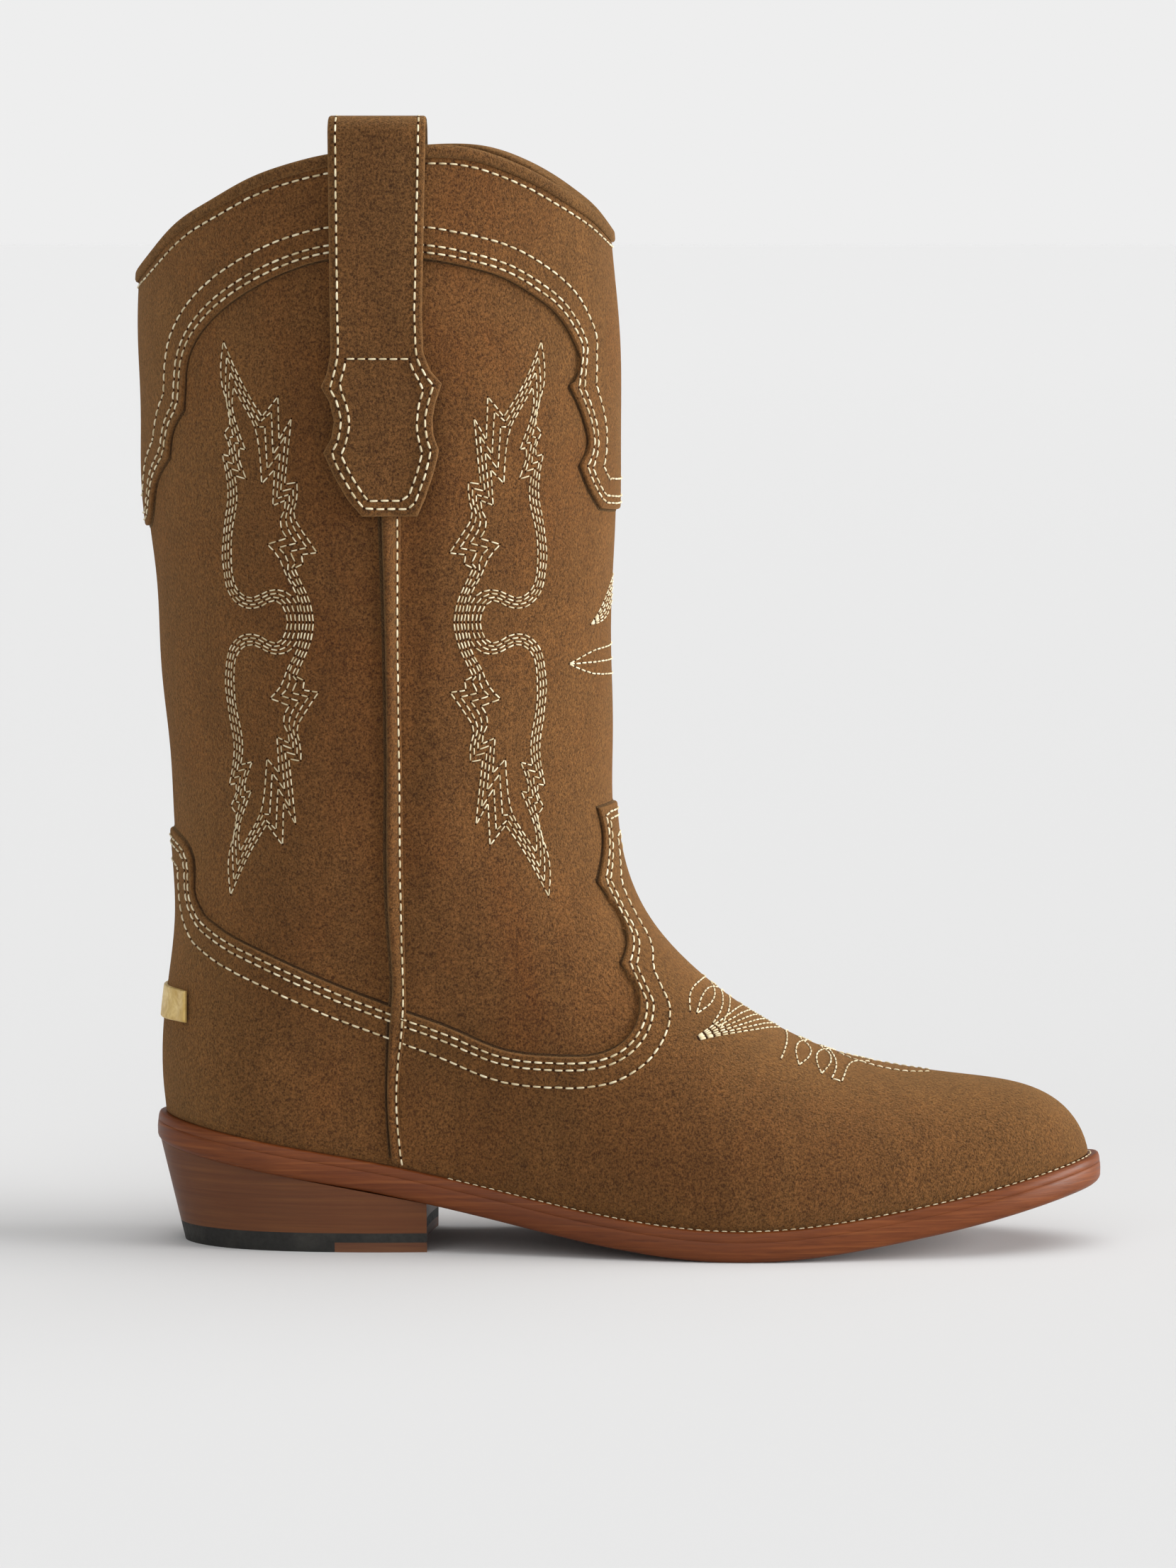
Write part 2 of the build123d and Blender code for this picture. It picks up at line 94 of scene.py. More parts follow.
FEATHER = [(-60, 41.7), (-42, 38.3), (-20, 34.2), (0, 30.5), (20, 26.9), (40, 22.8), (60, 18.4),
           (80, 14.2), (100, 10.9), (115, 9.3), (130, 8.8), (150, 10.0), (175, 13.8), (200, 18.8),
           (222, 24.2), (245, 30)]

# Half widths of the shaft by Z, and of the outer and the inner side of the foot by X
SHAFT_HALF = [(40, 38), (80, 39), (105, 40), (130, 42), (160, 44.5), (200, 47.5), (250, 49.8),
              (300, 50.8), (350, 51)]
OUTER_HALF = [(-45, 29), (0, 29.5), (30, 28.5), (55, 30), (85, 36), (115, 41.5), (140, 42), (165, 38.5),
              (190, 33), (210, 27), (222, 22.5), (232, 18.5)]
INNER_HALF = [(-45, 28.5), (0, 29), (30, 27), (60, 26.5), (90, 33), (120, 40.5), (145, 42), (165, 39),
              (190, 32), (210, 25.5), (222, 21), (232, 17)]

# By X: radius to which the front is rounded off, and how far the welt stands out; swing of the toe
ROUNDING = [(-60, 67), (60, 67), (90, 66), (103, 62), (125, 52), (140, 45), (172, 34), (190, 31),
            (205, 28), (215, 26), (232, 22)]
LEDGE = [(-45, 2.6), (20, 2.4), (60, 2.6), (110, 3.6), (235, 3.4)]
TOE_SWING = 3.0
SWING_FROM = (110, 232)

# The foot draws in by a share just over the welt, and its widths give way to the shaft's higher up
FOOT_TUCK = (0.07, 5.0)
SHAFT_FROM = (15, 95)
HEEL_ROUNDING = (36, 66)
HEEL_FROM = (45, 150)

# The distance to a profile is exact up to the first of these and blended beyond the second
EXACT = (2, 4)

# X of a line up the middle of the leg, from which faces point outwards
LEG_X = 22

# Fold in the shaft ahead of the side seam: depth and width, and the heights where it starts and ends
FOLD_DEPTH = 1.7
FOLD_WIDTH = 7
FOLD_FROM = (75, 120)
FOLD_TO = (215, 260)

# X of the side seam, and of the ends of the overlays, which meet beside it
SEAM_X = 28.7
FRONT_OVERLAY_X = 29
BACK_OVERLAY_X = 28

# X of lines that run out past the boot, and how far panels and linings stop from the rim and the welt
PAST_FRONT = 95
PAST_BACK = -55
PAST_TOE = 235
PAST_HEEL = -50
RIM_DROP = 0.6
LINING_DROP = 1.0
PANEL_LIFT = 0.2

# Edges of the panels in side view; an edge of several runs has a corner where two runs meet
RIM = [(-60, 266), (-50, 282.5), (-42.8, 291), (-34.6, 299.6), (-24.4, 306.4), (-12.5, 313),
       (-1, 317.2), (9.3, 319.8), (25, 321.8), (39.4, 322.8), (51, 321.9), (62, 318.2), (70.9, 313.5),
       (77.4, 309.1), (84.1, 303.6), (89.1, 297.3), (97, 285.5)]
COLLAR_FRONT = [[(29, 291.5), (38.9, 290.9), (51.1, 288.5), (60, 285.7), (68.9, 280.4), (75.5, 274.6),
                 (79.8, 267.6), (81.6, 261.8), (80.9, 257.3), (78.8, 253.9)],
                [(78.8, 253.9), (80.9, 249.3), (83.1, 242.3), (83.8, 236.5), (81.6, 230.9)],
                [(81.6, 230.9), (84.2, 223.9), (87.4, 217.8)],
                [(87.4, 217.8), (97, 215.5)]]
COLLAR_BACK = [[(28, 291.7), (10.5, 290.8), (-1, 287.4), (-12.7, 281.6), (-22.3, 274.7), (-28.5, 267.7),
                (-31.5, 260.7), (-32.2, 253.9), (-32.7, 247)],
               [(-32.7, 247), (-36.1, 241.1), (-37.4, 233)],
               [(-37.4, 233), (-41.5, 225.8), (-43.2, 216.3), (-44.2, 212.6)],
               [(-44.2, 212.6), (-54, 208)]]
VAMP = [[(29, 72.2), (48.3, 65.1), (57.9, 61.1), (75.7, 58.8), (91.1, 60.6), (96.8, 65.1), (99.2, 71.9),
         (97.2, 79.8), (93.5, 84.5)],
        [(93.5, 84.5), (95, 89.9), (92.8, 98.1), (86.6, 108.3)],
        [(86.6, 108.3), (88.1, 116.8), (88, 123), (86.5, 129.8)],
        [(86.5, 129.8), (97, 131.5)]]
COUNTER = [[(-52, 129), (-39.5, 122.8), (-33.9, 118.8), (-31.6, 111.3), (-31.4, 104), (-28, 98)],
           [(-28, 98), (-21.2, 93.8), (-11.6, 89.4), (-0.6, 84.5), (15.7, 77.5), (28, 72.9)]]
SHAFT_FRONT_FOOT = [(28.7, 60), (46, 53), (60, 50), (78, 49), (96, 52), (106, 61), (109, 72), (112, 92)]
SHAFT_BACK_FOOT = [(28.7, 60), (14, 65), (0, 71), (-12, 77), (-24, 83), (-36, 90), (-52, 98)]
PIPING_BACK = [(20, 27.5), (34, 26.2), (45, 25.6), (57, 25.9), (69, 26.7), (78, 27.5), (92, 27),
               (138, 26.6), (184, 26.4), (217, 25.8), (330, 25.8)]
PIPING_FRONT = [(20, 31.6), (34, 29.7), (45, 29), (57, 29.8), (69, 31.3), (80, 31.4), (138, 31.1),
                (184, 30.9), (217, 31.3), (330, 31.3)]

# Section of a side piping: (share of its width, height, height added over the panels of the foot), and
# the heights between which the added part fades out
# The first rows lie flat beside the strip and are coloured dark, as painted shade in the crease there.
PIPING_SECTION = [(-0.24, -0.3, 0), (-0.2, 0.15, 1.3), (-0.04, 0.15, 1.3), (0, 0.4, 0.9), (0, 1.3, 0),
                  (0.04, 1.85, 0), (0.1, 2.2, 0), (0.19, 2.4, 0), (0.3, 2.45, 0), (0.42, 2.3, 0),
                  (0.54, 2.0, 0.1), (0.64, 1.6, 0.25), (0.72, 1.25, 0.5), (0.8, 1.05, 0.75),
                  (0.88, 1.0, 0.85), (0.96, 0.8, 0.95), (1.0, 0.5, 0.9), (1.0, -0.2, 0)]
PIPING_OVER = (66, 80)

# Pull straps: edges by height on the outer leg, places of the two legs, bend over the rim, and lean
STRAP_BACK = [(217.1, 20.4), (222, 16.2), (229, 12.2), (235.5, 9.3), (239.5, 11.6), (244.5, 12.5),
              (250, 11.2), (254.4, 8.7), (258, 10.4), (264, 11.6), (275, 11.4), (331, 10.9)]
STRAP_FRONT = [(217.1, 36.2), (222, 38.4), (229, 40.8), (236, 42.6), (240.5, 41), (245, 40.7),
               (250, 41.6), (255.3, 43.4), (259, 40.2), (264, 38.2), (275, 37.8), (331, 39)]
STRAP_THICK = 2.0
STRAP_LEGS = (3.8, -4.9)
STRAP_BEND_Z = 326.5
STRAP_INSIDE_Z = 272.0
STRAP_LEAN = {-1: 0.0, 1: -6.5}
STRAP_LEAN_FROM = (262, 331)
STRAP_HOLLOW = 0.5
STRAP_COLUMNS = 29
STRAP_LEG_ROWS = (150, 50)

# Shield at the outer end of a strap: lower than its top, and further out than the inner leg
STRAP_INSIDE_HALF = 48.5
SHIELD_TOP = 262

# Gold band round the heel: middle line, half height, rounding of its edges, and curl of its ends
TAB_LINE = [(-46, 71.2), (-38, 71.2), (-32, 71.2)]
TAB_HALF = [4.8, 4.8, 4.6]
TAB_RADIUS = 0.5
TAB_STEPS = (0.1, 0.25, 0.5)
TAB_CURL = 1.2

# Stitching: distances of the rows from an edge, (pitch, thickness) of the stitches, X from which the
# welt is stitched, and gap at each end of a stitch as a share of its length
EDGE_ROWS = (1.9, 3.9, 9.0)
RIM_ROW = 4.0
STRAP_ROWS = (1.6, 4.0)
STITCH = (3.2, 0.6)
FINE_STITCH = (2.7, 0.43)
WELT_STITCH = (2.5, 0.5)
WELT_ROW_X = 42
FRONT_STITCH = (2.6, 0.5)
STITCH_GAP = 0.13

# One stitch: (share of its length, thickness, height), the last two as shares of the thread's thickness
STITCH_SHAPE = [(0.0, 0.3, -0.3), (0.06, 0.75, 0.05), (0.2, 0.97, 0.3), (0.5, 1.0, 0.36),
                (0.8, 0.97, 0.3), (0.94, 0.75, 0.05), (1.0, 0.3, -0.3)]
STITCH_SIDES = 6
HOLE_SIDES = 8

# Flame of stitched rows beside the seam: pairs of points on the first and the last row of a strand, as
# (distance from the seam side of the flame, height over its middle). The lower half mirrors the upper.
FLAME_ROWS = (4, 4)
FLAME_Z = 186.1
FLAME_FRONT = 17.2
FLAME_BACK = -22.4

# X of the front and the back of the leg, up to which distances round it are measured
LEG_ENDS = (89.0, -44.0)

# The two strands of a flame
FLAME_OUTER = [((25.1, 67.8), (28.5, 80.9)), ((25.5, 63.2), (28.8, 67.4)), ((23.3, 55.4), (26.5, 55.8)),
               ((20.9, 49.8), (26.8, 55.3)), ((23.0, 50.3), (28.0, 54.5)), ((23.2, 48.6), (26.0, 48.6)),
               ((22.1, 44.7), (26.2, 47.8)), ((20.7, 41.3), (26.8, 47.7)), ((24.6, 42.3), (28.6, 48.3)),
               ((24.0, 39.1), (27.1, 41.2)), ((24.1, 34.5), (27.1, 34.4)), ((25.3, 29.2), (28.3, 29.1)),
               ((26.3, 24.1), (29.0, 24.0)), ((26.5, 18.7), (29.6, 18.6)), ((26.3, 14.3), (29.0, 13.9)),
               ((24.7, 9.2), (27.7, 8.5)), ((22.9, 7.7), (25.7, 6.0)), ((21.0, 6.7), (23.5, 4.4)),
               ((18.7, 6.9), (20.2, 3.7)), ((16.8, 7.8), (17.2, 4.2)), ((14.6, 8.9), (14.1, 6.0)),
               ((12.4, 9.4), (11.7, 6.4)), ((9.9, 9.2), (10.1, 5.1)), ((7.6, 8.0), (9.0, 3.2)),
               ((5.7, 5.7), (8.6, 1.3)), ((4.9, 0.0), (8.4, 0.0))]
FLAME_INNER = [((28.5, 80.9), (25.1, 67.8)), ((21.6, 67.9), (21.6, 62.5)), ((15.7, 59.4), (17.4, 54.9)),
               ((10.8, 65.2), (16.8, 52.1)), ((10.4, 52.8), (15.8, 40.1)), ((6.7, 59.0), (11.8, 44.2)),
               ((8.8, 40.0), (12.5, 33.8)), ((5.1, 40.6), (8.6, 35.4)), ((5.6, 34.2), (8.6, 33.4)),
               ((6.3, 31.6), (9.5, 31.6)), ((4.7, 27.9), (10.5, 29.0)), ((-0.6, 20.3), (8.4, 24.4)),
               ((4.1, 19.7), (14.5, 22.5)), ((3.7, 17.0), (10.3, 17.6)), ((6.3, 15.7), (9.3, 14.9)),
               ((3.7, 10.4), (6.4, 9.7)), ((1.8, 6.1), (4.8, 5.7)), ((0.7, 0.0), (3.7, 0.0))]

# Lines stitched on the instep, one half: (distance along the front line from its start, distance across)
INSTEP_START = (117, 78)
BADGE_START = (90.2, 182)
INSTEP_LINES = [
    [(0, 0), (-1, 9), (-1, 17), (2, 21.5)],
    [(5, 0), (2.4, 8), (2.2, 15), (3.7, 20.8)], [(3.7, 20.8), (5.2, 16), (5, 9), (2, 0)],
    [(6, 0), (8, 9), (9, 15), (9, 20.7)], [(9, 20.7), (11.6, 20.4)],
    [(11.6, 20.4), (11, 13), (10, 6), (9, 0)],
    [(29, 0), (30, 8), (30.6, 15), (30.6, 20.5)],
    [(36, 0), (33.6, 8), (34, 15), (36, 20)], [(36, 20), (37.8, 15), (37.6, 8), (33, 0)],
    [(43, 0), (40.2, 8), (40.4, 15), (42.8, 20.2)], [(42.8, 20.2), (44.2, 15), (44, 8), (40, 0)],
    [(43, 0), (45.4, 9), (46.4, 15), (45.9, 20.8)], [(45.9, 20.8), (48.9, 20.8)],
    [(48.9, 20.8), (49.4, 14), (51, 7), (56, 2)],
    [(46, 1), (53, 5), (61, 6.5), (68, 6), (74, 2)],
]

# Fans of rows between two lines, in the same measures: leaf on the instep, badge and tuft on the shaft
LEAF = [((14, 0), (27, 0)), ((12.5, 9), (23, 9)), ((10.5, 18), (17, 18)), ((7.5, 26), (8.5, 26.5))]
LEAF_ROWS = 6
SHAFT_BADGE = [((-9, 25), (-9, 25)), ((-6, 18), (-12, 18)), ((-5, 9), (-13, 9)), ((-4.5, 0), (-13.5, 0))]
BADGE_ROWS = 3
SHAFT_TUFT = [((16, 0), (8, 0)), ((14, 6), (7, 5)), ((9, 12), (4, 10)), ((2, 19), (2, 19))]
TUFT_ROWS = 5

# Lights: (name, degrees round from the camera, degrees up, strength, degrees across)
LIGHTS = [("right_softbox", 84, 10, 5.6, 40), ("front_softbox", -14, 34, 0.75, 60),
          ("top_softbox", 100, 76, 1.5, 70)]

# Camera: place in millimetres, turn in degrees, middle and height of the view
CAMERA_HEIGHT = 330.0
CAMERA_DISTANCE = 2180.0
CAMERA_TURN = 2.5
SENSOR = 36.0
VIEW_CENTRE = (83.0, 135.3)
VIEW_HEIGHT = 461.202

# Floor in metres with colours near and far, and the brightness of the sky from the horizon upwards
FLOOR_CORNERS = [(-60, -60, 0), (60, -60, 0), (60, 90, 0), (-60, 90, 0)]
FLOOR_NEAR = (216, 216, 216)
FLOOR_FAR = (219, 219, 219)
FADE_LENGTH = 8.0
HORIZON = (238, 238, 238)
HORIZON_TOP = 0.08
SKY = 0.2
SKY_FROM = 0.45

scene = bpy.context.scene
random = np.random.default_rng(7)


# ---------------------------------------------------------------- shape of the boot

def curve(points):
    """Natural cubic spline y(x) through the points, level with its ends outside them."""
    x, y = np.array(points, float).T
    h = np.diff(x)
    rows = np.eye(len(x))
    side = np.zeros(len(x))
    for i in range(1, len(x) - 1):
        rows[i, i - 1:i + 2] = h[i - 1], 2 * (h[i - 1] + h[i]), h[i]
        side[i] = 6 * ((y[i + 1] - y[i]) / h[i] - (y[i] - y[i - 1]) / h[i - 1])
    bend = np.linalg.solve(rows, side)

    def at(q):
        q = np.clip(q, x[0], x[-1])
        i = np.clip(np.searchsorted(x, q) - 1, 0, len(h) - 1)
        a, b, s = q - x[i], x[i + 1] - q, h[i]
        cubic = (bend[i] * b ** 3 + bend[i + 1] * a ** 3) / (6 * s)
        return cubic + (y[i] / s - bend[i] * s / 6) * b + (y[i + 1] / s - bend[i + 1] * s / 6) * a
    return at


def lengths(line):
    """Lengths of the segments of a polyline."""
    return np.linalg.norm(np.diff(line, axis=0), axis=1)


def unit(vectors):
    """Vectors scaled to a length of 1."""
    return vectors / np.maximum(np.linalg.norm(vectors, axis=-1, keepdims=True), 1e-9)


def along(line):
    """Distance along a polyline as a fraction of its length."""
    steps = lengths(line)
    return np.r_[0, np.cumsum(steps)] / steps.sum()


def arc_points(line, shares):
    """Points of a polyline at shares of its length."""
    line = np.asarray(line, float)
    return np.stack([np.interp(shares, along(line), line[:, k]) for k in range(line.shape[1])], -1)


def smooth_line(points, count):
    """Evenly spaced points on a smooth line through the points."""
    points = np.array(points, float)
    t = along(points)
    fine = np.linspace(0, 1, 20 * count)
    line = np.stack([curve(np.c_[t, points[:, k]])(fine) for k in range(points.shape[1])], 1)
    return arc_points(line, np.linspace(0, 1, count))


def profile(points):
    """A side view line carried on straight down and up past the ends of the boot."""
    line = smooth_line(points, 600)
    below = [(line[0, 0], z) for z in np.linspace(-60, line[0, 1] - 3, 9)]
    above = [(line[-1, 0], z) for z in np.linspace(line[-1, 1] + 3, 420, 9)]
    return np.vstack([below, line, above])


front = profile(FRONT)
back = profile(BACK)
feather = curve(FEATHER)
shaft_half = curve(SHAFT_HALF)
outer_half = curve(OUTER_HALF)
inner_half = curve(INNER_HALF)
rounding = curve(ROUNDING)
ledge = curve(LEDGE)
rim = curve(RIM)


def nearest_gap(points, line):
    """Shortest distance from each point to the segments of a polyline."""
    start, way = line[:-1], np.diff(line, axis=0)
    offset = points[:, None] - start
    share = np.clip((offset * way).sum(-1) / (way ** 2).sum(-1), 0, 1)
    return np.linalg.norm(offset - share[..., None] * way, axis=-1).min(1)


def distance(x, z, line):
    """Distance to a profile: exact beside it, blended further off so that it stays smooth at bends."""
    sparse = line[::2]
    middle = (sparse[1:] + sparse[:-1]) / 2
    steps = lengths(sparse)
    points = np.stack([np.ravel(x), np.ravel(z)], 1).astype(float)
    found = np.empty(len(points))
    chunk = 4000
    for i in range(0, len(points), chunk):
        some = points[i:i + chunk]
        gap = (some[:, :1] - middle[:, 0]) ** 2 + (some[:, 1:] - middle[:, 1]) ** 2
        blended = (math.pi / 2 / (steps / (gap + 1e-6) ** 2).sum(1)) ** (1 / 3)
        close = np.sqrt(gap.min(1)) < EXACT[1] + 1
        if close.any():
            exact = nearest_gap(some[close], line)
            share = ease(*EXACT, exact)
            blended[close] = (1 - share) * exact + share * blended[close]
        found[i:i + chunk] = blended
    return found.reshape(np.shape(x))


def ease(low, high, x):
    """Smooth step from 0 at low to 1 at high."""
    t = np.clip((x - low) / (high - low), 0, 1)
    return t * t * (3 - 2 * t)


def arch(t):
    """Quarter circle from 0 to 1."""
    return np.sqrt(1 - (1 - np.clip(t, 0, 1)) ** 2)


def centre(x):
    """Y of the middle of the boot: the toe swings inwards."""
    return TOE_SWING * ease(*SWING_FROM, x)


def half_width(x, z, side):
    """Half width of the boot at a point of the side view; side is -1 outer or 1 inner."""
    foot = outer_half(x) if side < 0 else inner_half(x)
    height = z - feather(x)
    foot = foot * (1 - FOOT_TUCK[0] * np.exp(-np.clip(height, 0, 99) / FOOT_TUCK[1]))
    full = foot + (shaft_half(z) - foot) * ease(*SHAFT_FROM, height)
    heel = HEEL_ROUNDING[0] + (HEEL_ROUNDING[1] - HEEL_ROUNDING[0]) * ease(*HEEL_FROM, z)
    return full * arch(distance(x, z, front) / rounding(x)) * arch(distance(x, z, back) / heel)


def spread(points, side):
    """Side view points carried out to the face of the boot on one side."""
    x, z = points[..., 0], points[..., 1]
    return np.stack([x, centre(x) + side * half_width(x, z, side), z], -1)


def wrapped(flat):
    """A side view grid carried round the boot, from the outer seam to the inner seam."""
    outer, inner = spread(flat, -1), spread(flat, 1)
    outer[0, :, 1] = centre(outer[0, :, 0])
    return np.vstack([outer[::-1], inner[1:]])


def relief(points):
    """Soft unevenness of the leather: long low waves, and a fold ahead of the side seam."""
    x, y, z = np.moveaxis(points, -1, 0)
    waves = (np.sin(z / 11.3 + x / 17.1 + 1.1) * np.sin(y / 13.7 - z / 31.0 + 0.4)
             + 0.8 * np.sin(z / 7.9 - x / 23.0) * np.sin(x / 12.1 + y / 19.0 + 2.0)
             + 0.6 * np.sin(z / 19.7 + y / 9.1 + 0.7))
    fold_x = 32 + 0.03 * (z - 170)
    fold = np.exp(-((x - fold_x) / FOLD_WIDTH) ** 2) * ease(*FOLD_FROM, z) * (1 - ease(*FOLD_TO, z))
    height = 0.09 + 0.17 * ease(55, 130, z)
    return waves * height * ease(2, 25, z - feather(x)) - FOLD_DEPTH * fold


# ---------------------------------------------------------------- grids for the panels

def stretch(line, start, end):
    """The stretch of a profile between the spots nearest to two points."""
    i, j = (int(np.argmin(((line - p) ** 2).sum(1))) for p in (start, end))
    return line[i:j + 1] if i <= j else line[j:i + 1][::-1]


def clipped(edge, line):
    """The part of an edge inside the boot, starting on the front or back profile."""
    edge = np.array(edge, float)
    limit = np.interp(edge[:, 1], line[:, 1], line[:, 0])
    gap = (limit - edge[:, 0]) * np.sign(limit - SEAM_X)
    first = int(np.argmax(gap > 0))
    if first == 0:
        return edge
    share = gap[first] / (gap[first] - gap[first - 1])
    return np.vstack([edge[first] + share * (edge[first - 1] - edge[first]), edge[first:]])


def shares(count):
    """Steps from a profile to the side seam, closer together at the profile."""
    return (1 - np.cos(np.linspace(0, math.pi / 2, count + 1)))[:, None, None]


def stretched(low, high, line, across, up):
    """Grid between two edges, the profile line and a straight side seam."""
    share = shares(across)
    rise = np.linspace(0, 1, up + 1)[None, :, None]
    nose = np.vstack([low[:1], stretch(line, low[0], high[0])[1:-1], high[:1]])
    bottom = arc_points(low, share[:, :, 0])
    top = arc_points(high, share[:, :, 0])
    middle = arc_points(nose, rise[0, :, 0])[None]
    straight = (1 - rise) * low[0] + rise * high[0]
    return (1 - rise) * bottom + rise * top + (1 - share) * (middle - straight)


def settled(grid, rounds):
    """The grid with its inside points evened out, its border kept, so that no cell folds over."""
    grid = grid.copy()
    share = shares(len(grid) - 1)
    before, after = np.diff(share, axis=0)[:-1], np.diff(share, axis=0)[1:]
    for _ in range(rounds):
        inner = grid[1:-1, 1:-1]
        across = (grid[2:, 1:-1] - grid[:-2, 1:-1]) / (before + after)
        up = (grid[1:-1, 2:] - grid[1:-1, :-2]) / 2
        skew = (grid[2:, 2:] - grid[2:, :-2] - grid[:-2, 2:] + grid[:-2, :-2]) / (2 * (before + after))
        a, b, c = ((up * up).sum(-1, keepdims=True), (up * across).sum(-1, keepdims=True),
                   (across * across).sum(-1, keepdims=True))
        sides = 2 * (grid[2:, 1:-1] / after + grid[:-2, 1:-1] / before) / (before + after)
        ends = grid[1:-1, 2:] + grid[1:-1, :-2]
        target = (a * sides + c * ends - 2 * b * skew) / (2 * a / (before * after) + 2 * c)
        grid[1:-1, 1:-1] = inner + 0.7 * (target - inner)
    return grid


def resized(grid, across, up):
    """A grid of values read again at more rows and columns."""
    rows = np.linspace(0, len(grid) - 1, across + 1)
    columns = np.linspace(0, grid.shape[1] - 1, up + 1)
    i, j = (np.minimum(v.astype(int), n - 2) for v, n in ((rows, len(grid)), (columns, grid.shape[1])))
    s, t = (rows - i)[:, None, None], (columns - j)[None, :, None]
    near = (1 - t) * grid[i][:, j] + t * grid[i][:, j + 1]
    far = (1 - t) * grid[i + 1][:, j] + t * grid[i + 1][:, j + 1]
    return (1 - s) * near + s * far


def patch(low, high, line, across, up):
    """Side view grid of a panel that wraps round the front or the back of the boot.

    The low and high edges both run from the profile line to the side seam. It is evened out on a
    coarse grid first, and then on the fine one.
    """
    low, high = clipped(low, line), clipped(high, line)
    coarse = stretched(low, high, line, 16, 20)
    shift = resized(settled(coarse, 200) - coarse, across, up)
    return settled(stretched(low, high, line, across, up) + shift, 50)


def scalloped(runs):
    """An edge of smooth runs with corners between them."""
    return np.vstack([smooth_line(run, 60) if len(run) > 2 else np.array(run, float) for run in runs])


def level_run(line, start, end, drop):
    """Points of the feather line or the rim between two X, lowered by drop."""
    x = np.linspace(start, end, 200)
    return np.c_[x, line(x) - drop]


# ---------------------------------------------------------------- mesh making

def make(name, points, faces, material, node=None, marks=None):
    """A mesh piece of the boot from points in millimetres."""
    mesh = bpy.data.meshes.new(name)
    mesh.from_pydata((np.reshape(points, (-1, 3)) / 1000).tolist(), [], [list(face) for face in faces])
    mesh.materials.append(material)
    mesh.polygons.foreach_set("use_smooth", [True] * len(mesh.polygons))
    for mark, values in (marks or {}).items():
        data = mesh.attributes.new(mark, "FLOAT", "POINT").data
        data.foreach_set("value", np.ravel(values).astype(np.float32))
    mesh.update()
    piece = bpy.data.objects.new(name, mesh)
    scene.collection.objects.link(piece)
    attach(piece, "root")
    if node:
        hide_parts(node)


def quads(rows, columns, closed=False):
    """Faces of a grid of points; a closed grid joins its last row to its first."""
    index = np.arange(rows * columns).reshape(rows, columns)
    if closed:
        index = np.vstack([index, index[:1]])
    return np.stack([index[:-1, :-1], index[1:, :-1], index[1:, 1:], index[:-1, 1:]], -1).reshape(-1, 4)


def facing(grid, ways, faces):
    """The faces of a grid, turned to look the ways given at its points."""
    normal = np.cross(np.diff(grid, axis=0)[:, :-1], np.diff(grid, axis=1)[:-1])
    return faces if (normal * ways[:-1, :-1]).sum() > 0 else faces[:, ::-1]


def outward(grid):
    """Unit normals of a grid of points that point away from the inside of the boot."""
    normal = np.cross(np.gradient(grid, axis=0), np.gradient(grid, axis=1))
    inside = np.array([LEG_X, 0, grid[..., 2].mean()])
    normal *= np.sign((normal * (grid - inside)).sum())
    return unit(normal)


def framed(grid, out, steps=BORDER_STEPS):
    """The grid and its normals with more rows close to its four edges, and each point's distance in."""
    field = np.concatenate([grid, out, np.full(grid.shape[:2] + (1,), WELL_INSIDE)], -1)
    for _ in range(4):
        first, second = field[0], field[1]
        gap = np.linalg.norm(second[:, :3] - first[:, :3], axis=-1, keepdims=True)
        rows = [first.copy()]
        rows[0][:, 6] = 0
        for k, step in enumerate(steps):
            share = np.minimum(step / np.maximum(gap, 1e-6), 0.3 * (k + 1))
            row = first + share * (second - first)
            row[:, 6] = np.minimum(row[:, 6], (share * gap)[:, 0])
            rows.append(row)
        field = np.rot90(np.concatenate([np.array(rows), field[1:]]))
    return field[..., :3], field[..., 3:6], field[..., 6]


def border(rows, columns):
    """Indices of the points round a grid, in order."""
    index = np.arange(rows * columns).reshape(rows, columns)
    return np.concatenate([index[:-1, 0], index[-1, :-1], index[:0:-1, -1], index[0, :0:-1]])


def walled(skin, rings):
    """Points and faces of a grid whose border is carried on down through grids of the same size."""
    rows, columns = skin.shape[:2]
    edge = above = border(rows, columns)
    points, faces = [skin.reshape(-1, 3)], [quads(rows, columns)]
    for k, ring in enumerate(rings):
        points.append(ring.reshape(-1, 3)[edge])
        below = rows * columns + k * len(above) + np.arange(len(above))
        faces.append(np.stack([below, np.roll(below, -1), np.roll(above, -1), above], -1))
        above = below
    return np.vstack(points), np.vstack(faces)


def tree(points, faces):
    """Search tree of a face, to find spots on it."""
    return BVHTree.FromPolygons(np.reshape(points, (-1, 3)).tolist(), np.asarray(faces).tolist())


def panel(name, flat, layer, material, node):
    """A leather panel with rounded cut edges. Returns its grid, normals and a tree to find its face."""
    grid = wrapped(flat)
    out = outward(grid)
    points, normal, depth = framed(grid, out)
    lift = layer[1] - EDGE_RADIUS + EDGE_RADIUS * arch(depth / EDGE_RADIUS) + relief(points)
    rows, columns = depth.shape
    inner = len(BORDER_STEPS)
    row = np.clip(np.arange(rows), inner, rows - 1 - inner)
    column = np.clip(np.arange(columns), inner, columns - 1 - inner)
    away = unit(points - points[row][:, column])
    rings = [points + normal * (layer[0] + rise + relief(points))[..., None] + away * reach
             for rise, reach in FLANGE]
    skin, faces = walled(points + normal * lift[..., None], rings)
    # Painted shade: the edge row of the skin gets half the crease mark and the flange rings all of it, so
    # the cut edge and the gap under it are coloured dark.
    dark = np.ones(len(skin) - depth.size)
    marks = {"edge": np.r_[np.exp(-depth.ravel() / WORN_EDGE), np.zeros(len(dark))],
             "crease": np.r_[np.where(depth.ravel() < 0.05, 0.5, 0.0), dark]}
    make(name, skin, facing(grid, out, faces), material, node, marks)
    lifted = grid + out * (layer[1] + relief(grid))[..., None]
    return {"grid": lifted, "out": out, "tree": tree(lifted, quads(*lifted.shape[:2]))}


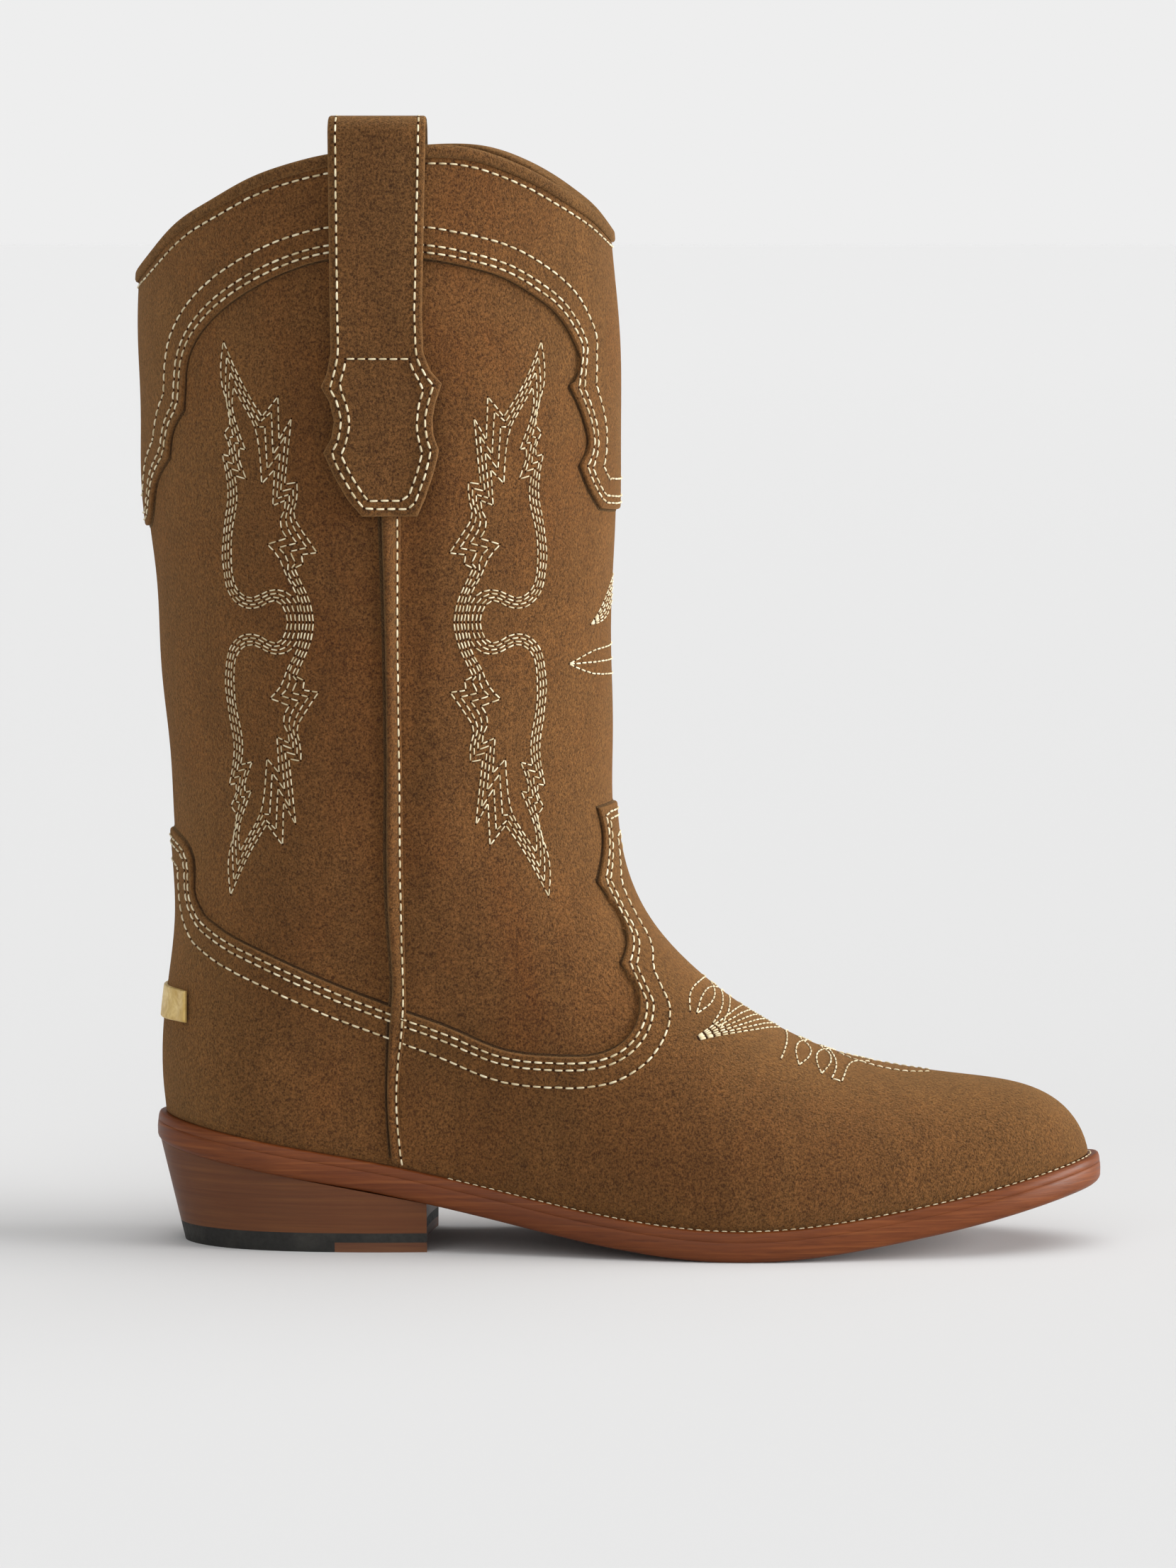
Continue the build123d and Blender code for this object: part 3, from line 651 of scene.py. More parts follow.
# ---------------------------------------------------------------- stitching

def snapped(panel_made, points):
    """The nearest spots on a panel's face, and the normals there."""
    spots, normals = [], []
    for point in points:
        spot, normal, _, _ = panel_made["tree"].find_nearest(Vector(point))
        spots.append(spot)
        normals.append(normal)
    spots, normals = np.array(spots), np.array(normals)
    flip = np.sign((normals * (spots - [LEG_X, 0, spots[:, 2].mean()])).sum(1, keepdims=True))
    return spots, normals * flip


def inset(panel_made, edge, inside, out, gap):
    """A line at a distance in from an edge of a panel.

    The edge comes with the next line in from it and the panel's normals along it.
    """
    count = max(int(lengths(edge).sum() / 0.6), 8)
    even = np.linspace(0, 1, count)
    line, within = arc_points(edge, even), arc_points(inside, even)
    normals = np.stack([np.interp(even, along(edge), out[:, k]) for k in range(3)], 1)
    across = np.cross(normals, unit(np.gradient(line, axis=0)))
    across *= np.sign((across * (within - line)).sum(1).mean())
    moved = snapped(panel_made, line + gap * across)[0]
    far = np.array([np.min(((line - p) ** 2).sum(1)) for p in moved]) > (0.95 * gap) ** 2
    return moved[far]


def row_on(panel_made, line, pitch):
    """Evenly spaced needle holes along a line on a panel, with the normals there."""
    count = max(int(round(lengths(line).sum() / pitch)), 1)
    return snapped(panel_made, arc_points(line, np.linspace(0, 1, count + 1)))


def corner_runs(line, sharp=0.5):
    """Splits a polyline where it turns sharply, and smooths what lies between."""
    way = unit(np.diff(line, axis=0))
    turns = [i + 1 for i in range(len(way) - 1) if way[i] @ way[i + 1] < sharp]
    stops = [0, *turns, len(line) - 1]
    runs = [line[a:b + 1] for a, b in zip(stops, stops[1:])]
    return [smooth_line(run, 40) if len(run) > 2 else run for run in runs]


def thread(name, rows, width, material):
    """Stitches from hole to hole along rows of (spots, normals)."""
    starts = np.vstack([spots[:-1] for spots, _ in rows])
    ends = np.vstack([spots[1:] for spots, _ in rows])
    up = np.vstack([(normals[:-1] + normals[1:]) / 2 for _, normals in rows])
    way = ends - starts
    size = np.linalg.norm(way, axis=1, keepdims=True)
    keep = size[:, 0] > 0.5
    starts, way, up, size = starts[keep], way[keep] / size[keep], up[keep], size[keep]
    up = unit(up - way * (up * way).sum(1, keepdims=True))
    side = np.cross(way, up)
    side += 0.05 * random.standard_normal(side.shape) * side
    place, thick, raised = np.array(STITCH_SHAPE).T
    gap = STITCH_GAP * size
    reach = (gap + (size - 2 * gap) * place)[..., None]
    middle = starts[:, None] + way[:, None] * reach + up[:, None] * (raised * width)[:, None]
    twist = 0.06 * width * random.standard_normal((len(starts), 1, 1))
    middle = middle + side[:, None] * twist
    angles = np.linspace(0, 2 * math.pi, STITCH_SIDES + 1)[:-1]
    radius = (thick * width / 2)[:, None]
    wide, high = (np.cos(angles) * radius)[..., None], (0.8 * np.sin(angles) * radius)[..., None]
    points = middle[:, :, None] + side[:, None, None] * wide + up[:, None, None] * high
    base = np.arange(radius.size * STITCH_SIDES).reshape(-1, STITCH_SIDES)
    turned = np.roll(base, -1, 1)
    shell = np.stack([base[:-1], base[1:], turned[1:], turned[:-1]], -1).reshape(1, -1, 4)
    faces = (shell + base.size * np.arange(len(starts))[:, None, None]).reshape(-1, 4)
    tone = np.repeat(random.random(len(starts)), base.size)
    make(name, points, faces, material, marks={"tone": tone})


def holes(name, rows, size, material):
    """Small dark dents where the needle went through: painted shade in the holes, with darker pressed
    leather round them.
    """
    spots = np.vstack([spots for spots, _ in rows])
    normals = np.vstack([normals for _, normals in rows])
    other = unit(np.cross(normals, [0.31, 0.17, 0.93]))
    third = np.cross(normals, other)
    angles = np.linspace(0, 2 * math.pi, HOLE_SIDES + 1)[:-1, None]
    ring = other[:, None] * np.cos(angles) + third[:, None] * np.sin(angles)
    points = np.concatenate([(spots + 0.05 * normals)[:, None],
                             spots[:, None] + 0.03 * normals[:, None] + size / 2 * ring], 1)
    fan = np.array([(0, 1 + i, 1 + (i + 1) % HOLE_SIDES) for i in range(HOLE_SIDES)])
    faces = (fan[None] + (HOLE_SIDES + 1) * np.arange(len(spots))[:, None, None]).reshape(-1, 3)
    make(name, points, faces, material)


def stitching(name, rows, stitch=STITCH):
    """Thread and needle holes along rows of (spots, normals)."""
    thread(name + "_thread", rows, stitch[1], MATERIALS["thread"])
    holes(name + "_needle_holes", rows, stitch[1] * 1.25, MATERIALS["hole"])


# ---------------------------------------------------------------- materials

class Nodes:
    """A material's node tree, with short names for what the materials here use."""

    def __init__(self, name):
        self.material = bpy.data.materials.new(name)
        self.material.use_nodes = True
        self.tree = self.material.node_tree
        self.shader = self.tree.nodes["Principled BSDF"]
        self.place = self.add("ShaderNodeTexCoord").outputs["Object"]

    def add(self, kind, **settings):
        """A new node with its settings."""
        node = self.tree.nodes.new(kind)
        for key, value in settings.items():
            setattr(node, key, value)
        return node

    def link(self, output, target):
        self.tree.links.new(output, target)

    def noise(self, scale, detail=3.0, rough=0.55, squeeze=None, warp=0.0):
        """Noise with a number of features per metre; squeeze scales the three directions."""
        node = self.add("ShaderNodeTexNoise")
        node.inputs["Scale"].default_value = scale
        node.inputs["Detail"].default_value = detail
        node.inputs["Roughness"].default_value = rough
        node.inputs["Distortion"].default_value = warp
        place = self.place
        if squeeze:
            mapping = self.add("ShaderNodeMapping")
            mapping.inputs["Scale"].default_value = squeeze
            self.link(place, mapping.inputs["Vector"])
            place = mapping.outputs["Vector"]
        self.link(place, node.inputs["Vector"])
        return node.outputs["Fac"]

    def spread(self, value, low, high, to=(0.0, 1.0)):
        """The range from low to high stretched to another range."""
        node = self.add("ShaderNodeMapRange")
        node.inputs["From Min"].default_value = low
        node.inputs["From Max"].default_value = high
        node.inputs["To Min"].default_value = to[0]
        node.inputs["To Max"].default_value = to[1]
        self.link(value, node.inputs["Value"])
        return node.outputs["Result"]

    def maths(self, operation, a, b):
        """A sum or product of two numbers or outputs."""
        node = self.add("ShaderNodeMath", operation=operation)
        for socket, value in zip(node.inputs, (a, b)):
            if isinstance(value, (int, float)):
                socket.default_value = value
            else:
                self.link(value, socket)
        return node.outputs["Value"]

    def mix(self, share, a, b, blend="MIX"):
        """Mixes two colours; a share, or a colour, may be a number or an output."""
        node = self.add("ShaderNodeMix", data_type="RGBA", blend_type=blend)
        for name, value in (("Factor_Float", share), ("A_Color", a), ("B_Color", b)):
            socket = next(s for s in node.inputs if s.identifier == name)
            if isinstance(value, bpy.types.NodeSocket):
                self.link(value, socket)
            else:
                socket.default_value = value if name == "Factor_Float" else linear(value)
        return next(s for s in node.outputs if s.identifier == "Result_Color")

    def blend(self, value, low, high, a, b, most=1.0):
        """Mixes from colour a towards b while a value goes from low to high."""
        return self.mix(self.spread(value, low, high, (0.0, most)), a, b)

    def mark(self, name):
        """A value stored on the points of a mesh."""
        return self.add("ShaderNodeAttribute", attribute_name=name).outputs["Fac"]

    def bump(self, height, strength, depth):
        node = self.add("ShaderNodeBump")
        node.inputs["Strength"].default_value = strength
        node.inputs["Distance"].default_value = depth
        self.link(height, node.inputs["Height"])
        self.link(node.outputs["Normal"], self.shader.inputs["Normal"])

    def finish(self, color, rough=None, **constants):
        """Sets the colour, the roughness and the shader's constant sockets."""
        self.link(color, self.shader.inputs["Base Color"])
        if rough is not None:
            self.link(rough, self.shader.inputs["Roughness"])
        for key, value in constants.items():
            self.shader.inputs[key.replace("_", " ")].default_value = value
        return self.material


def linear(color):
    """Screen colour from 0 to 255 as a linear colour."""
    c = np.array(color, float) / 255
    c = np.where(c <= 0.04045, c / 12.92, ((c + 0.055) / 1.055) ** 2.4)
    return (*c.tolist(), 1.0)


def suede(name, dark, light, red):
    """Napped leather: short fibres in dark and light, cloudy patches, paler rubbed edges, and painted
    shade in creases and gaps.
    """
    n = Nodes(name)
    fibre = n.noise(2000, 4, 0.75, (1, 1, 0.8), 0.4)
    tuft = n.noise(1050, 3, 0.65)
    cloud = n.noise(28, 4, 0.6, (1, 1, 0.7), 0.6)
    brushed = n.noise(70, 3, 0.6, (1, 1, 0.35), 1.2)
    nap = n.spread(n.maths("ADD", n.maths("MULTIPLY", fibre, 0.65), n.maths("MULTIPLY", tuft, 0.35)),
                   0.41, 0.61)
    color = n.mix(nap, dark, light)
    color = n.blend(cloud, 0.42, 0.68, color, n.mix(nap, red[0], red[1]), 0.55)
    shade = n.spread(brushed, 0.35, 0.7, (0.86, 1.1))
    shade_color = n.add("ShaderNodeCombineColor")
    for socket in shade_color.inputs:
        n.link(shade, socket)
    color = n.mix(1.0, color, shade_color.outputs["Color"], "MULTIPLY")
    rubbed = n.maths("MULTIPLY", n.mark("edge"), n.spread(tuft, 0.3, 0.7, (0.25, 0.7)))
    color = n.mix(rubbed, color, light)
    # Painted shade: points marked as crease (cut edges and the flanges under them, the strip beside the
    # piping, the back of the straps) go towards near black brown.
    color = n.mix(n.maths("MULTIPLY", n.mark("crease"), 0.85), color, (24, 13, 7))
    n.bump(n.maths("ADD", fibre, n.maths("MULTIPLY", tuft, 0.8)), 0.85, 0.0009)
    return n.finish(color, n.spread(fibre, 0.3, 0.7, (0.85, 1.0)), Sheen_Weight=0.5,
                    Sheen_Roughness=0.42, Sheen_Tint=linear((238, 188, 126)), Specular_IOR_Level=0.15)


def lining_leather():
    """Smooth calf lining with fine pores and light wear."""
    n = Nodes("lining_leather")
    grain = n.noise(900, 5, 0.6)
    cloud = n.noise(35, 4, 0.6)
    color = n.blend(cloud, 0.35, 0.7, (92, 60, 36), (128, 88, 56))
    color = n.blend(grain, 0.3, 0.7, color, (70, 44, 27), 0.4)
    n.bump(grain, 0.35, 0.0004)
    return n.finish(color, n.spread(cloud, 0.3, 0.7, (0.55, 0.75)), Specular_IOR_Level=0.35)


def sole_leather():
    """Burnished edge of the welt and outsole, with level streaks and paler lines."""
    n = Nodes("sole_edge_leather")
    streak = n.noise(60, 5, 0.65, (1, 1, 16), 0.5)
    layer = n.noise(35, 2, 0.5, (0.6, 0.6, 34))
    stain = n.noise(22, 4, 0.6)
    color = n.blend(streak, 0.32, 0.7, (88, 42, 13), (122, 64, 26))
    color = n.blend(stain, 0.35, 0.7, color, (94, 44, 15), 0.6)
    color = n.blend(layer, 0.56, 0.72, color, (144, 84, 40), 0.35)
    n.bump(n.maths("ADD", streak, layer), 0.15, 0.0004)
    return n.finish(color, n.spread(streak, 0.3, 0.75, (0.38, 0.55)), Specular_IOR_Level=0.25)


def heel_leather():
    """Stacked heel: thin level layers, stained dull red brown."""
    n = Nodes("heel_stack_leather")
    layer = n.noise(26, 3, 0.6, (0.5, 0.5, 30), 0.2)
    fine = n.noise(120, 3, 0.6, (0.4, 0.4, 14))
    stain = n.noise(45, 4, 0.6)
    color = n.blend(layer, 0.35, 0.68, (90, 50, 24), (110, 66, 32))
    color = n.blend(stain, 0.3, 0.75, color, (94, 50, 24), 0.6)
    color = n.blend(fine, 0.5, 0.75, color, (70, 40, 20), 0.3)
    n.bump(n.maths("ADD", layer, fine), 0.12, 0.0003)
    return n.finish(color, n.spread(stain, 0.3, 0.75, (0.4, 0.55)), Specular_IOR_Level=0.3)


def insert_leather():
    """Leather part of the top lift, in thin level layers."""
    n = Nodes("top_lift_leather_finish")
    layer = n.noise(60, 3, 0.6, (0.5, 0.5, 12))
    color = n.blend(layer, 0.3, 0.7, (84, 46, 24), (108, 68, 40))
    n.bump(layer, 0.2, 0.0004)
    return n.finish(color, n.spread(layer, 0.3, 0.7, (0.5, 0.65)), Specular_IOR_Level=0.4)


def rubber():
    """Matt black rubber of the top lift, with dust in its grain."""
    n = Nodes("top_lift_rubber_finish")
    grain = n.noise(700, 4, 0.6)
    dust = n.noise(60, 4, 0.7)
    color = n.blend(dust, 0.45, 0.75, (30, 29, 26), (52, 50, 45))
    n.bump(grain, 0.3, 0.0003)
    return n.finish(color, n.spread(grain, 0.3, 0.7, (0.6, 0.8)), Specular_IOR_Level=0.4)


def cotton(name, low, high):
    """Waxed sewing thread, each stitch a little lighter or darker, with fine twisted strands."""
    n = Nodes(name)
    strand = n.noise(2600, 2, 0.5)
    color = n.mix(n.mark("tone"), low, high)
    color = n.blend(strand, 0.35, 0.65, color, low, 0.25)
    n.bump(strand, 0.4, 0.0002)
    return n.finish(color, n.spread(strand, 0.3, 0.7, (0.5, 0.7)), Sheen_Weight=0.15,
                    Specular_IOR_Level=0.4)


def pressed_hole_shade():
    """Painted shade in a needle hole, with the darker pressed leather round it."""
    n = Nodes("needle_hole")
    color = n.mix(n.noise(900, 3), (34, 20, 11), (56, 34, 19))
    return n.finish(color, Roughness=0.95, Specular_IOR_Level=0.1)


def gold():
    """Foil-coated leather of the heel tab, with fine creases."""
    n = Nodes("gold_leather")
    grain = n.noise(700, 5, 0.6)
    crease = n.noise(120, 4, 0.7, None, 1.5)
    color = n.blend(crease, 0.35, 0.7, (196, 160, 84), (236, 212, 146))
    n.bump(n.maths("ADD", grain, crease), 0.4, 0.0005)
    return n.finish(color, n.spread(grain, 0.3, 0.7, (0.34, 0.5)), Metallic=0.55)


def fibre_board():
    """Cork, board and stiffeners, which stay hidden inside the boot."""
    n = Nodes("fibre_board")
    grain = n.noise(500, 4, 0.6)
    color = n.blend(grain, 0.3, 0.7, (140, 104, 70), (178, 140, 98))
    n.bump(grain, 0.4, 0.0005)
    return n.finish(color, Roughness=0.85)


def brushed_steel():
    """Steel of the shank and the nails, hidden inside the boot."""
    n = Nodes("brushed_steel")
    line = n.noise(300, 3, 0.6, (0.1, 1, 1))
    color = n.blend(line, 0.3, 0.7, (128, 128, 130), (168, 168, 170))
    n.bump(line, 0.1, 0.0002)
    return n.finish(color, n.spread(line, 0.3, 0.7, (0.3, 0.45)), Metallic=1.0)


MATERIALS = {
    "shaft": suede("shaft_suede_finish", (60, 34, 15), (138, 93, 50), ((64, 31, 11), (135, 80, 36))),
    "foot": suede("foot_suede_finish", (61, 36, 16), (136, 92, 49), ((65, 34, 13), (132, 83, 41))),
    "trim": suede("trim_suede_finish", (58, 35, 16), (136, 94, 52), ((60, 33, 13), (128, 82, 42))),
    "lining": lining_leather(),
    "sole": sole_leather(),
    "heel": heel_leather(),
    "insert": insert_leather(),
    "rubber": rubber(),
    "thread": cotton("cream_thread", (188, 170, 130), (236, 224, 190)),
    "hole": pressed_hole_shade(),
    "gold": gold(),
    "board": fibre_board(),
    "steel": brushed_steel(),
}


# ---------------------------------------------------------------- pieces

def uppers():
    """The suede panels. Returns them by node, for the stitching."""
    toe = level_run(feather, PAST_TOE, FRONT_OVERLAY_X, -PANEL_LIFT)
    heel = level_run(feather, PAST_HEEL, BACK_OVERLAY_X, -PANEL_LIFT)
    front_foot = smooth_line(SHAFT_FRONT_FOOT[::-1], 120)
    back_foot = smooth_line(SHAFT_BACK_FOOT[::-1], 120)
    front_rim = level_run(rim, PAST_FRONT, SEAM_X, RIM_DROP)
    back_rim = level_run(rim, PAST_BACK, SEAM_X, RIM_DROP)
    collar_front_rim = level_run(rim, PAST_FRONT, FRONT_OVERLAY_X, RIM_DROP)
    collar_back_rim = level_run(rim, PAST_BACK, BACK_OVERLAY_X, RIM_DROP)
    collar_front, collar_back = scalloped(COLLAR_FRONT)[::-1], scalloped(COLLAR_BACK)[::-1]
    grids = {
        "shaft_front": (front_foot, front_rim, front, (110, 150), SHAFT, "shaft"),
        "shaft_back": (back_foot, back_rim, back, (110, 150), SHAFT, "shaft"),
        "collar_front": (collar_front, collar_front_rim, front, (150, 50), OVERLAY, "shaft"),
        "collar_back": (collar_back, collar_back_rim, back, (150, 50), OVERLAY, "shaft"),
        "vamp": (toe, scalloped(VAMP)[::-1], front, (170, 90), OVERLAY, "foot"),
        "counter_cover": (heel, scalloped(COUNTER), back, (110, 70), OVERLAY, "foot"),
    }
    return {node: panel(node + "_panel", patch(low, high, line, *size), layer, MATERIALS[look],
                        node)
            for node, (low, high, line, size, layer, look) in grids.items()}


def linings():
    """Linings, seen from inside the shaft."""
    toe = level_run(feather, PAST_TOE, SEAM_X, -RIM_DROP)
    heel = level_run(feather, PAST_HEEL, SEAM_X, -RIM_DROP)
    front_foot = smooth_line(SHAFT_FRONT_FOOT[::-1], 120)
    grids = {
        "lining_front": patch(front_foot, level_run(rim, PAST_FRONT, SEAM_X, LINING_DROP), front, 60, 70),
        "vamp_lining": patch(toe, front_foot, front, 60, 30),
        "lining_back": patch(heel, level_run(rim, PAST_BACK, SEAM_X, LINING_DROP), back, 60, 90),
    }
    for node, flat in grids.items():
        grid = wrapped(flat)
        out = outward(grid)
        face = grid + out * (LINING + relief(grid))[..., None]
        faces = facing(grid, -out, quads(*grid.shape[:2]))
        make(node + "_face", face, faces, MATERIALS["lining"], node)


def binding(node, start, line):
    """The strip folded over the rim of one half of the shaft."""
    inner, outer = BINDING
    top, foot = BINDING_DROP
    corner = BINDING_CORNER
    section = [(foot, outer - 0.9), (foot - 0.25, outer - 0.3), (foot - 0.8, outer)]
    for middle, turn in ((outer - corner, 0.0), (inner + corner, math.pi / 2)):
        for angle in np.linspace(turn, turn + math.pi / 2, 7):
            section.append((top + corner - corner * math.sin(angle), middle + corner * math.cos(angle)))
    section += [(foot - 0.8, inner), (foot, inner + 0.5)]
    rings = []
    for drop, offset in section:
        flat = np.stack([arc_points(clipped(level_run(rim, start, SEAM_X, d), line), shares(130)[:, 0, 0])
                         for d in (drop, drop - 0.5)], 1)
        grid = wrapped(flat)
        out = outward(grid)
        rings.append(grid[:, 0] + out[:, 0] * (offset + relief(grid[:, 0]))[:, None])
    points = np.stack(rings, 1)
    faces = quads(*points.shape[:2])
    if start < 0:
        faces = faces[:, ::-1]
    make(node + "_strip", points, faces, MATERIALS["trim"], node)


def piping(side_name):
    """The raised strip over a side seam, rounder at its back edge and stitched near its front edge."""
    side = SIDES[side_name]
    foot = np.linspace(float(feather(BACK_OVERLAY_X)) + 0.3, 40, 30)[:-1]
    leg = np.linspace(40, float(rim(BACK_OVERLAY_X)) - 3, 260)
    z = np.concatenate([foot, leg])
    low, high = curve(PIPING_BACK)(z), curve(PIPING_FRONT)(z)
    share, height, raised = np.array(PIPING_SECTION).T[..., None]
    heights = np.tile(z, (len(share), 1))
    even = np.linspace(-0.2, 1.2, len(share))[:, None]
    out = outward(spread(np.stack([low + (high - low) * even, heights], -1), side))
    grid = spread(np.stack([low + (high - low) * share, heights], -1), side)
    tuck = 1 - 0.5 * ease(0, 1, 1 - (z - z[0]) / 4)
    lift = (height + raised * (1 - ease(*PIPING_OVER, z))) * tuck
    points = grid + out * (lift + relief(grid))[..., None]
    faces = quads(*points.shape[:2])
    if side > 0:
        faces = faces[:, ::-1]
    node = f"side_piping_{side_name}"
    # Painted shade: the flat strip along the back edge and the foot of the rounded wall are marked as
    # crease and coloured dark, for the shade in the crease there.
    dark = np.interp(np.arange(len(share)), [0, 3, 5, 7], [1.0, 1.0, 0.5, 0.0])
    crease = np.tile(dark[:, None], (1, len(z)))
    marks = {"edge": np.zeros(crease.shape), "crease": crease}
    make(node + "_strip", points, faces, MATERIALS["shaft"], node, marks)
    return {"grid": points, "tree": tree(points, faces)}


def strap_outline(height):
    """Back and front edge of a strap at a height."""
    return [np.interp(height, *np.array(edge).T) for edge in (STRAP_BACK, STRAP_FRONT)]


def strap(side_name):
    """One pull strap: up the outside, over the rim with a finger gap, and down the inside."""
    side = SIDES[side_name]
    out, inside = STRAP_LEGS
    radius, middle = (out - inside) / 2, (out + inside) / 2
    out_rows, in_rows = STRAP_LEG_ROWS
    leg = np.linspace(STRAP_BACK[0][0], STRAP_BEND_Z, out_rows)
    turns = np.linspace(0, math.pi, 24)[1:-1]
    inner = np.linspace(STRAP_BEND_Z, STRAP_INSIDE_Z, in_rows)
    bend = middle + radius * np.cos(turns)
    offset = np.concatenate([np.full(out_rows, out), bend, np.full(in_rows, inside)])
    height = np.concatenate([leg, STRAP_BEND_Z + radius * np.sin(turns), inner])
    low, high = strap_outline(np.concatenate([leg, np.full(len(turns) + in_rows, STRAP_BEND_Z)]))
    share = np.linspace(0, 1, STRAP_COLUMNS)[:, None]
    x = low + (high - low) * share + STRAP_LEAN[side] * ease(*STRAP_LEAN_FROM, height)
    z = np.tile(height, (STRAP_COLUMNS, 1))
    hollow = STRAP_HOLLOW * np.sin(math.pi * share) ** 2 * ease(0.0, 60.0, STRAP_LEAN_FROM[1] - z)
    unevenness = 0.8 * relief(np.stack([x, np.zeros(x.shape), z], -1))
    y = centre(x) + side * (half_width(x, z, side) + offset - hollow + unevenness)
    grid = np.stack([x, y, z], -1)
    normal = unit(np.cross(np.gradient(grid, axis=0), np.gradient(grid, axis=1)))
    normal *= np.sign(normal[STRAP_COLUMNS // 2, 20, 1]) * side
    points, normal, depth = framed(grid, normal)
    lift = STRAP_THICK / 2 * arch(0.02 + depth / (STRAP_THICK * 0.45))
    skins = [points + normal * lift[..., None], points - normal * lift[..., None]]
    faces = quads(*depth.shape)
    if side < 0:
        faces = faces[:, ::-1]
    faces = np.vstack([faces[:, ::-1], faces + depth.size])
    # Painted shade: the border of the front skin and the whole back skin, which faces the shaft, are
    # marked as crease and coloured dark.
    marks = {"edge": np.tile(np.exp(-depth / WORN_EDGE)[None], (2, 1, 1)),
             "crease": np.stack([np.where(depth < 0.05, 0.8, 0.0), np.ones(depth.shape)])}
    node = f"pull_strap_{side_name}"
    make(node + "_leather", np.stack(skins), faces, MATERIALS["trim"], node, marks)
    return {"grid": skins[0], "out": normal, "tree": tree(skins[0], quads(*depth.shape))}


def heel_tab():
    """Plain gold band folded round the back of the heel, its ends lifting away a little."""
    half = np.array(TAB_HALF)[:, None] * [0, 1]
    low, high = smooth_line(TAB_LINE - half, 30), smooth_line(TAB_LINE + half, 30)
    grid = wrapped(patch(low, high, back, 24, 20))
    out = outward(grid)
    points, normal, depth = framed(grid, out, TAB_STEPS)
    end = np.abs(points[..., 1]) / np.abs(points[..., 1]).max()
    curl = TAB_CURL * ease(0.75, 1.0, end)
    lift = TAB[1] - TAB_RADIUS + TAB_RADIUS * arch(depth / TAB_RADIUS) + relief(points) + curl
    foot = points + normal * (TAB[0] + relief(points) + curl)[..., None]
    skin, faces = walled(points + normal * lift[..., None], [foot])
    make("heel_tab_leather", skin, facing(grid, out, faces), MATERIALS["gold"], "heel_tab")


def ring_at(offset, count=170):
    """Plan outline of the upper where it meets the welt, moved out by an offset or a curve of X."""
    toe, heel = (line[np.argmin(np.abs(line[:, 1] - feather(line[:, 0]))), 0]
                 for line in (front, back))
    x = toe + (heel - toe) * (1 - np.cos(math.pi * np.linspace(0, 1, count + 1))) / 2
    halves = []
    for side in (-1, 1):
        y = centre(x) + side * half_width(x, feather(x), side)
        y[[0, -1]] = centre(x[[0, -1]])
        halves.append(np.c_[x, y])
    ring = np.vstack([halves[0], halves[1][-2:0:-1]])
    way = np.roll(ring, -1, 0) - np.roll(ring, 1, 0)
    out = unit(np.c_[-way[:, 1], way[:, 0]])
    gap = offset(ring[:, 0]) if callable(offset) else np.full(len(ring), float(offset))
    return ring + out * gap[:, None]


def levelled(ring, depth):
    """A plan outline placed at a depth under the feather line, but never under the floor."""
    return np.c_[ring, np.maximum(feather(ring[:, 0]) - depth, 0.0)]


def cap(ring, depth, steps=16):
    """Grid that closes a plan outline from side to side."""
    half = len(ring) // 2
    outer, inner = ring[:half + 1], np.vstack([ring[:1], ring[:half - 1:-1]])
    share = np.linspace(0, 1, steps + 1)[None, :, None]
    grid = (1 - share) * outer[:, None] + share * inner[:, None]
    return np.concatenate([grid, np.maximum(feather(grid[..., :1]) - depth, 0.0)], -1)


def sole_edge(x):
    """How far the edge of the sole stands out from the surface of the boot's shape."""
    return WALL + ledge(x)


def band(name, section, node, under=None):
    """A band round the sole from a section of (inset from the sole's edge, depth)."""
    rings = [levelled(ring_at(lambda x, inwards=inwards: sole_edge(x) - inwards), depth)
             for inwards, depth in section]
    points = np.stack(rings, 1)
    faces = quads(*points.shape[:2], closed=True)
    if under is not None:
        sheet = cap(rings[-1][:, :2], under)
        lower = quads(*sheet.shape[:2]) + points[..., 0].size
        faces = np.vstack([faces, lower])
        points = np.vstack([points.reshape(-1, 3), sheet.reshape(-1, 3)])
    make(name, points, faces, MATERIALS["sole"], node)


def soles():
    """Welt with its rounded ledge, and outsole with a softened edge."""
    band("welt_strip", WELT_SECTION, "welt")
    band("outsole_leather", OUTSOLE_SECTION, "outsole", under=SOLE)


def sock_liner():
    """Leather over the insole, turned up at its sides."""
    sheet = cap(ring_at(-SOCK_INSET), -INSOLE - SOCK, 24)
    rows, columns = sheet.shape[:2]
    across = np.abs(np.linspace(-1, 1, columns))
    sheet[..., 2] += SOCK_RISE * across ** 6
    faces = quads(rows, columns)[:, ::-1]
    make("sock_liner_leather", sheet, faces, MATERIALS["lining"], "sock_liner")


def welt_stitches():
    """Thread round the ledge of the welt, from the waist round the toe."""
    ring = ring_at(lambda x: WALL + 0.16 * ledge(x), 400)
    line = np.c_[ring, feather(ring[:, 0])]
    line = np.vstack([line[len(line) // 2:], line[:len(line) // 2]])
    line = line[line[:, 0] > WELT_ROW_X]
    count = int(lengths(line).sum() / WELT_STITCH[0])
    spots = arc_points(line, np.linspace(0, 1, count + 1)) - [0, 0, 0.12]
    normals = np.tile([0.0, 0.0, 1.0], (count + 1, 1))
    stitching("welt_stitching", [(spots, normals)], WELT_STITCH)


def run_on(field, reach):
    """A line run on straight past both ends by a share of its end steps."""
    return np.vstack([field[:1] + reach * (field[:1] - field[1:2]), field,
                      field[-1:] + reach * (field[-1:] - field[-2:-1])])


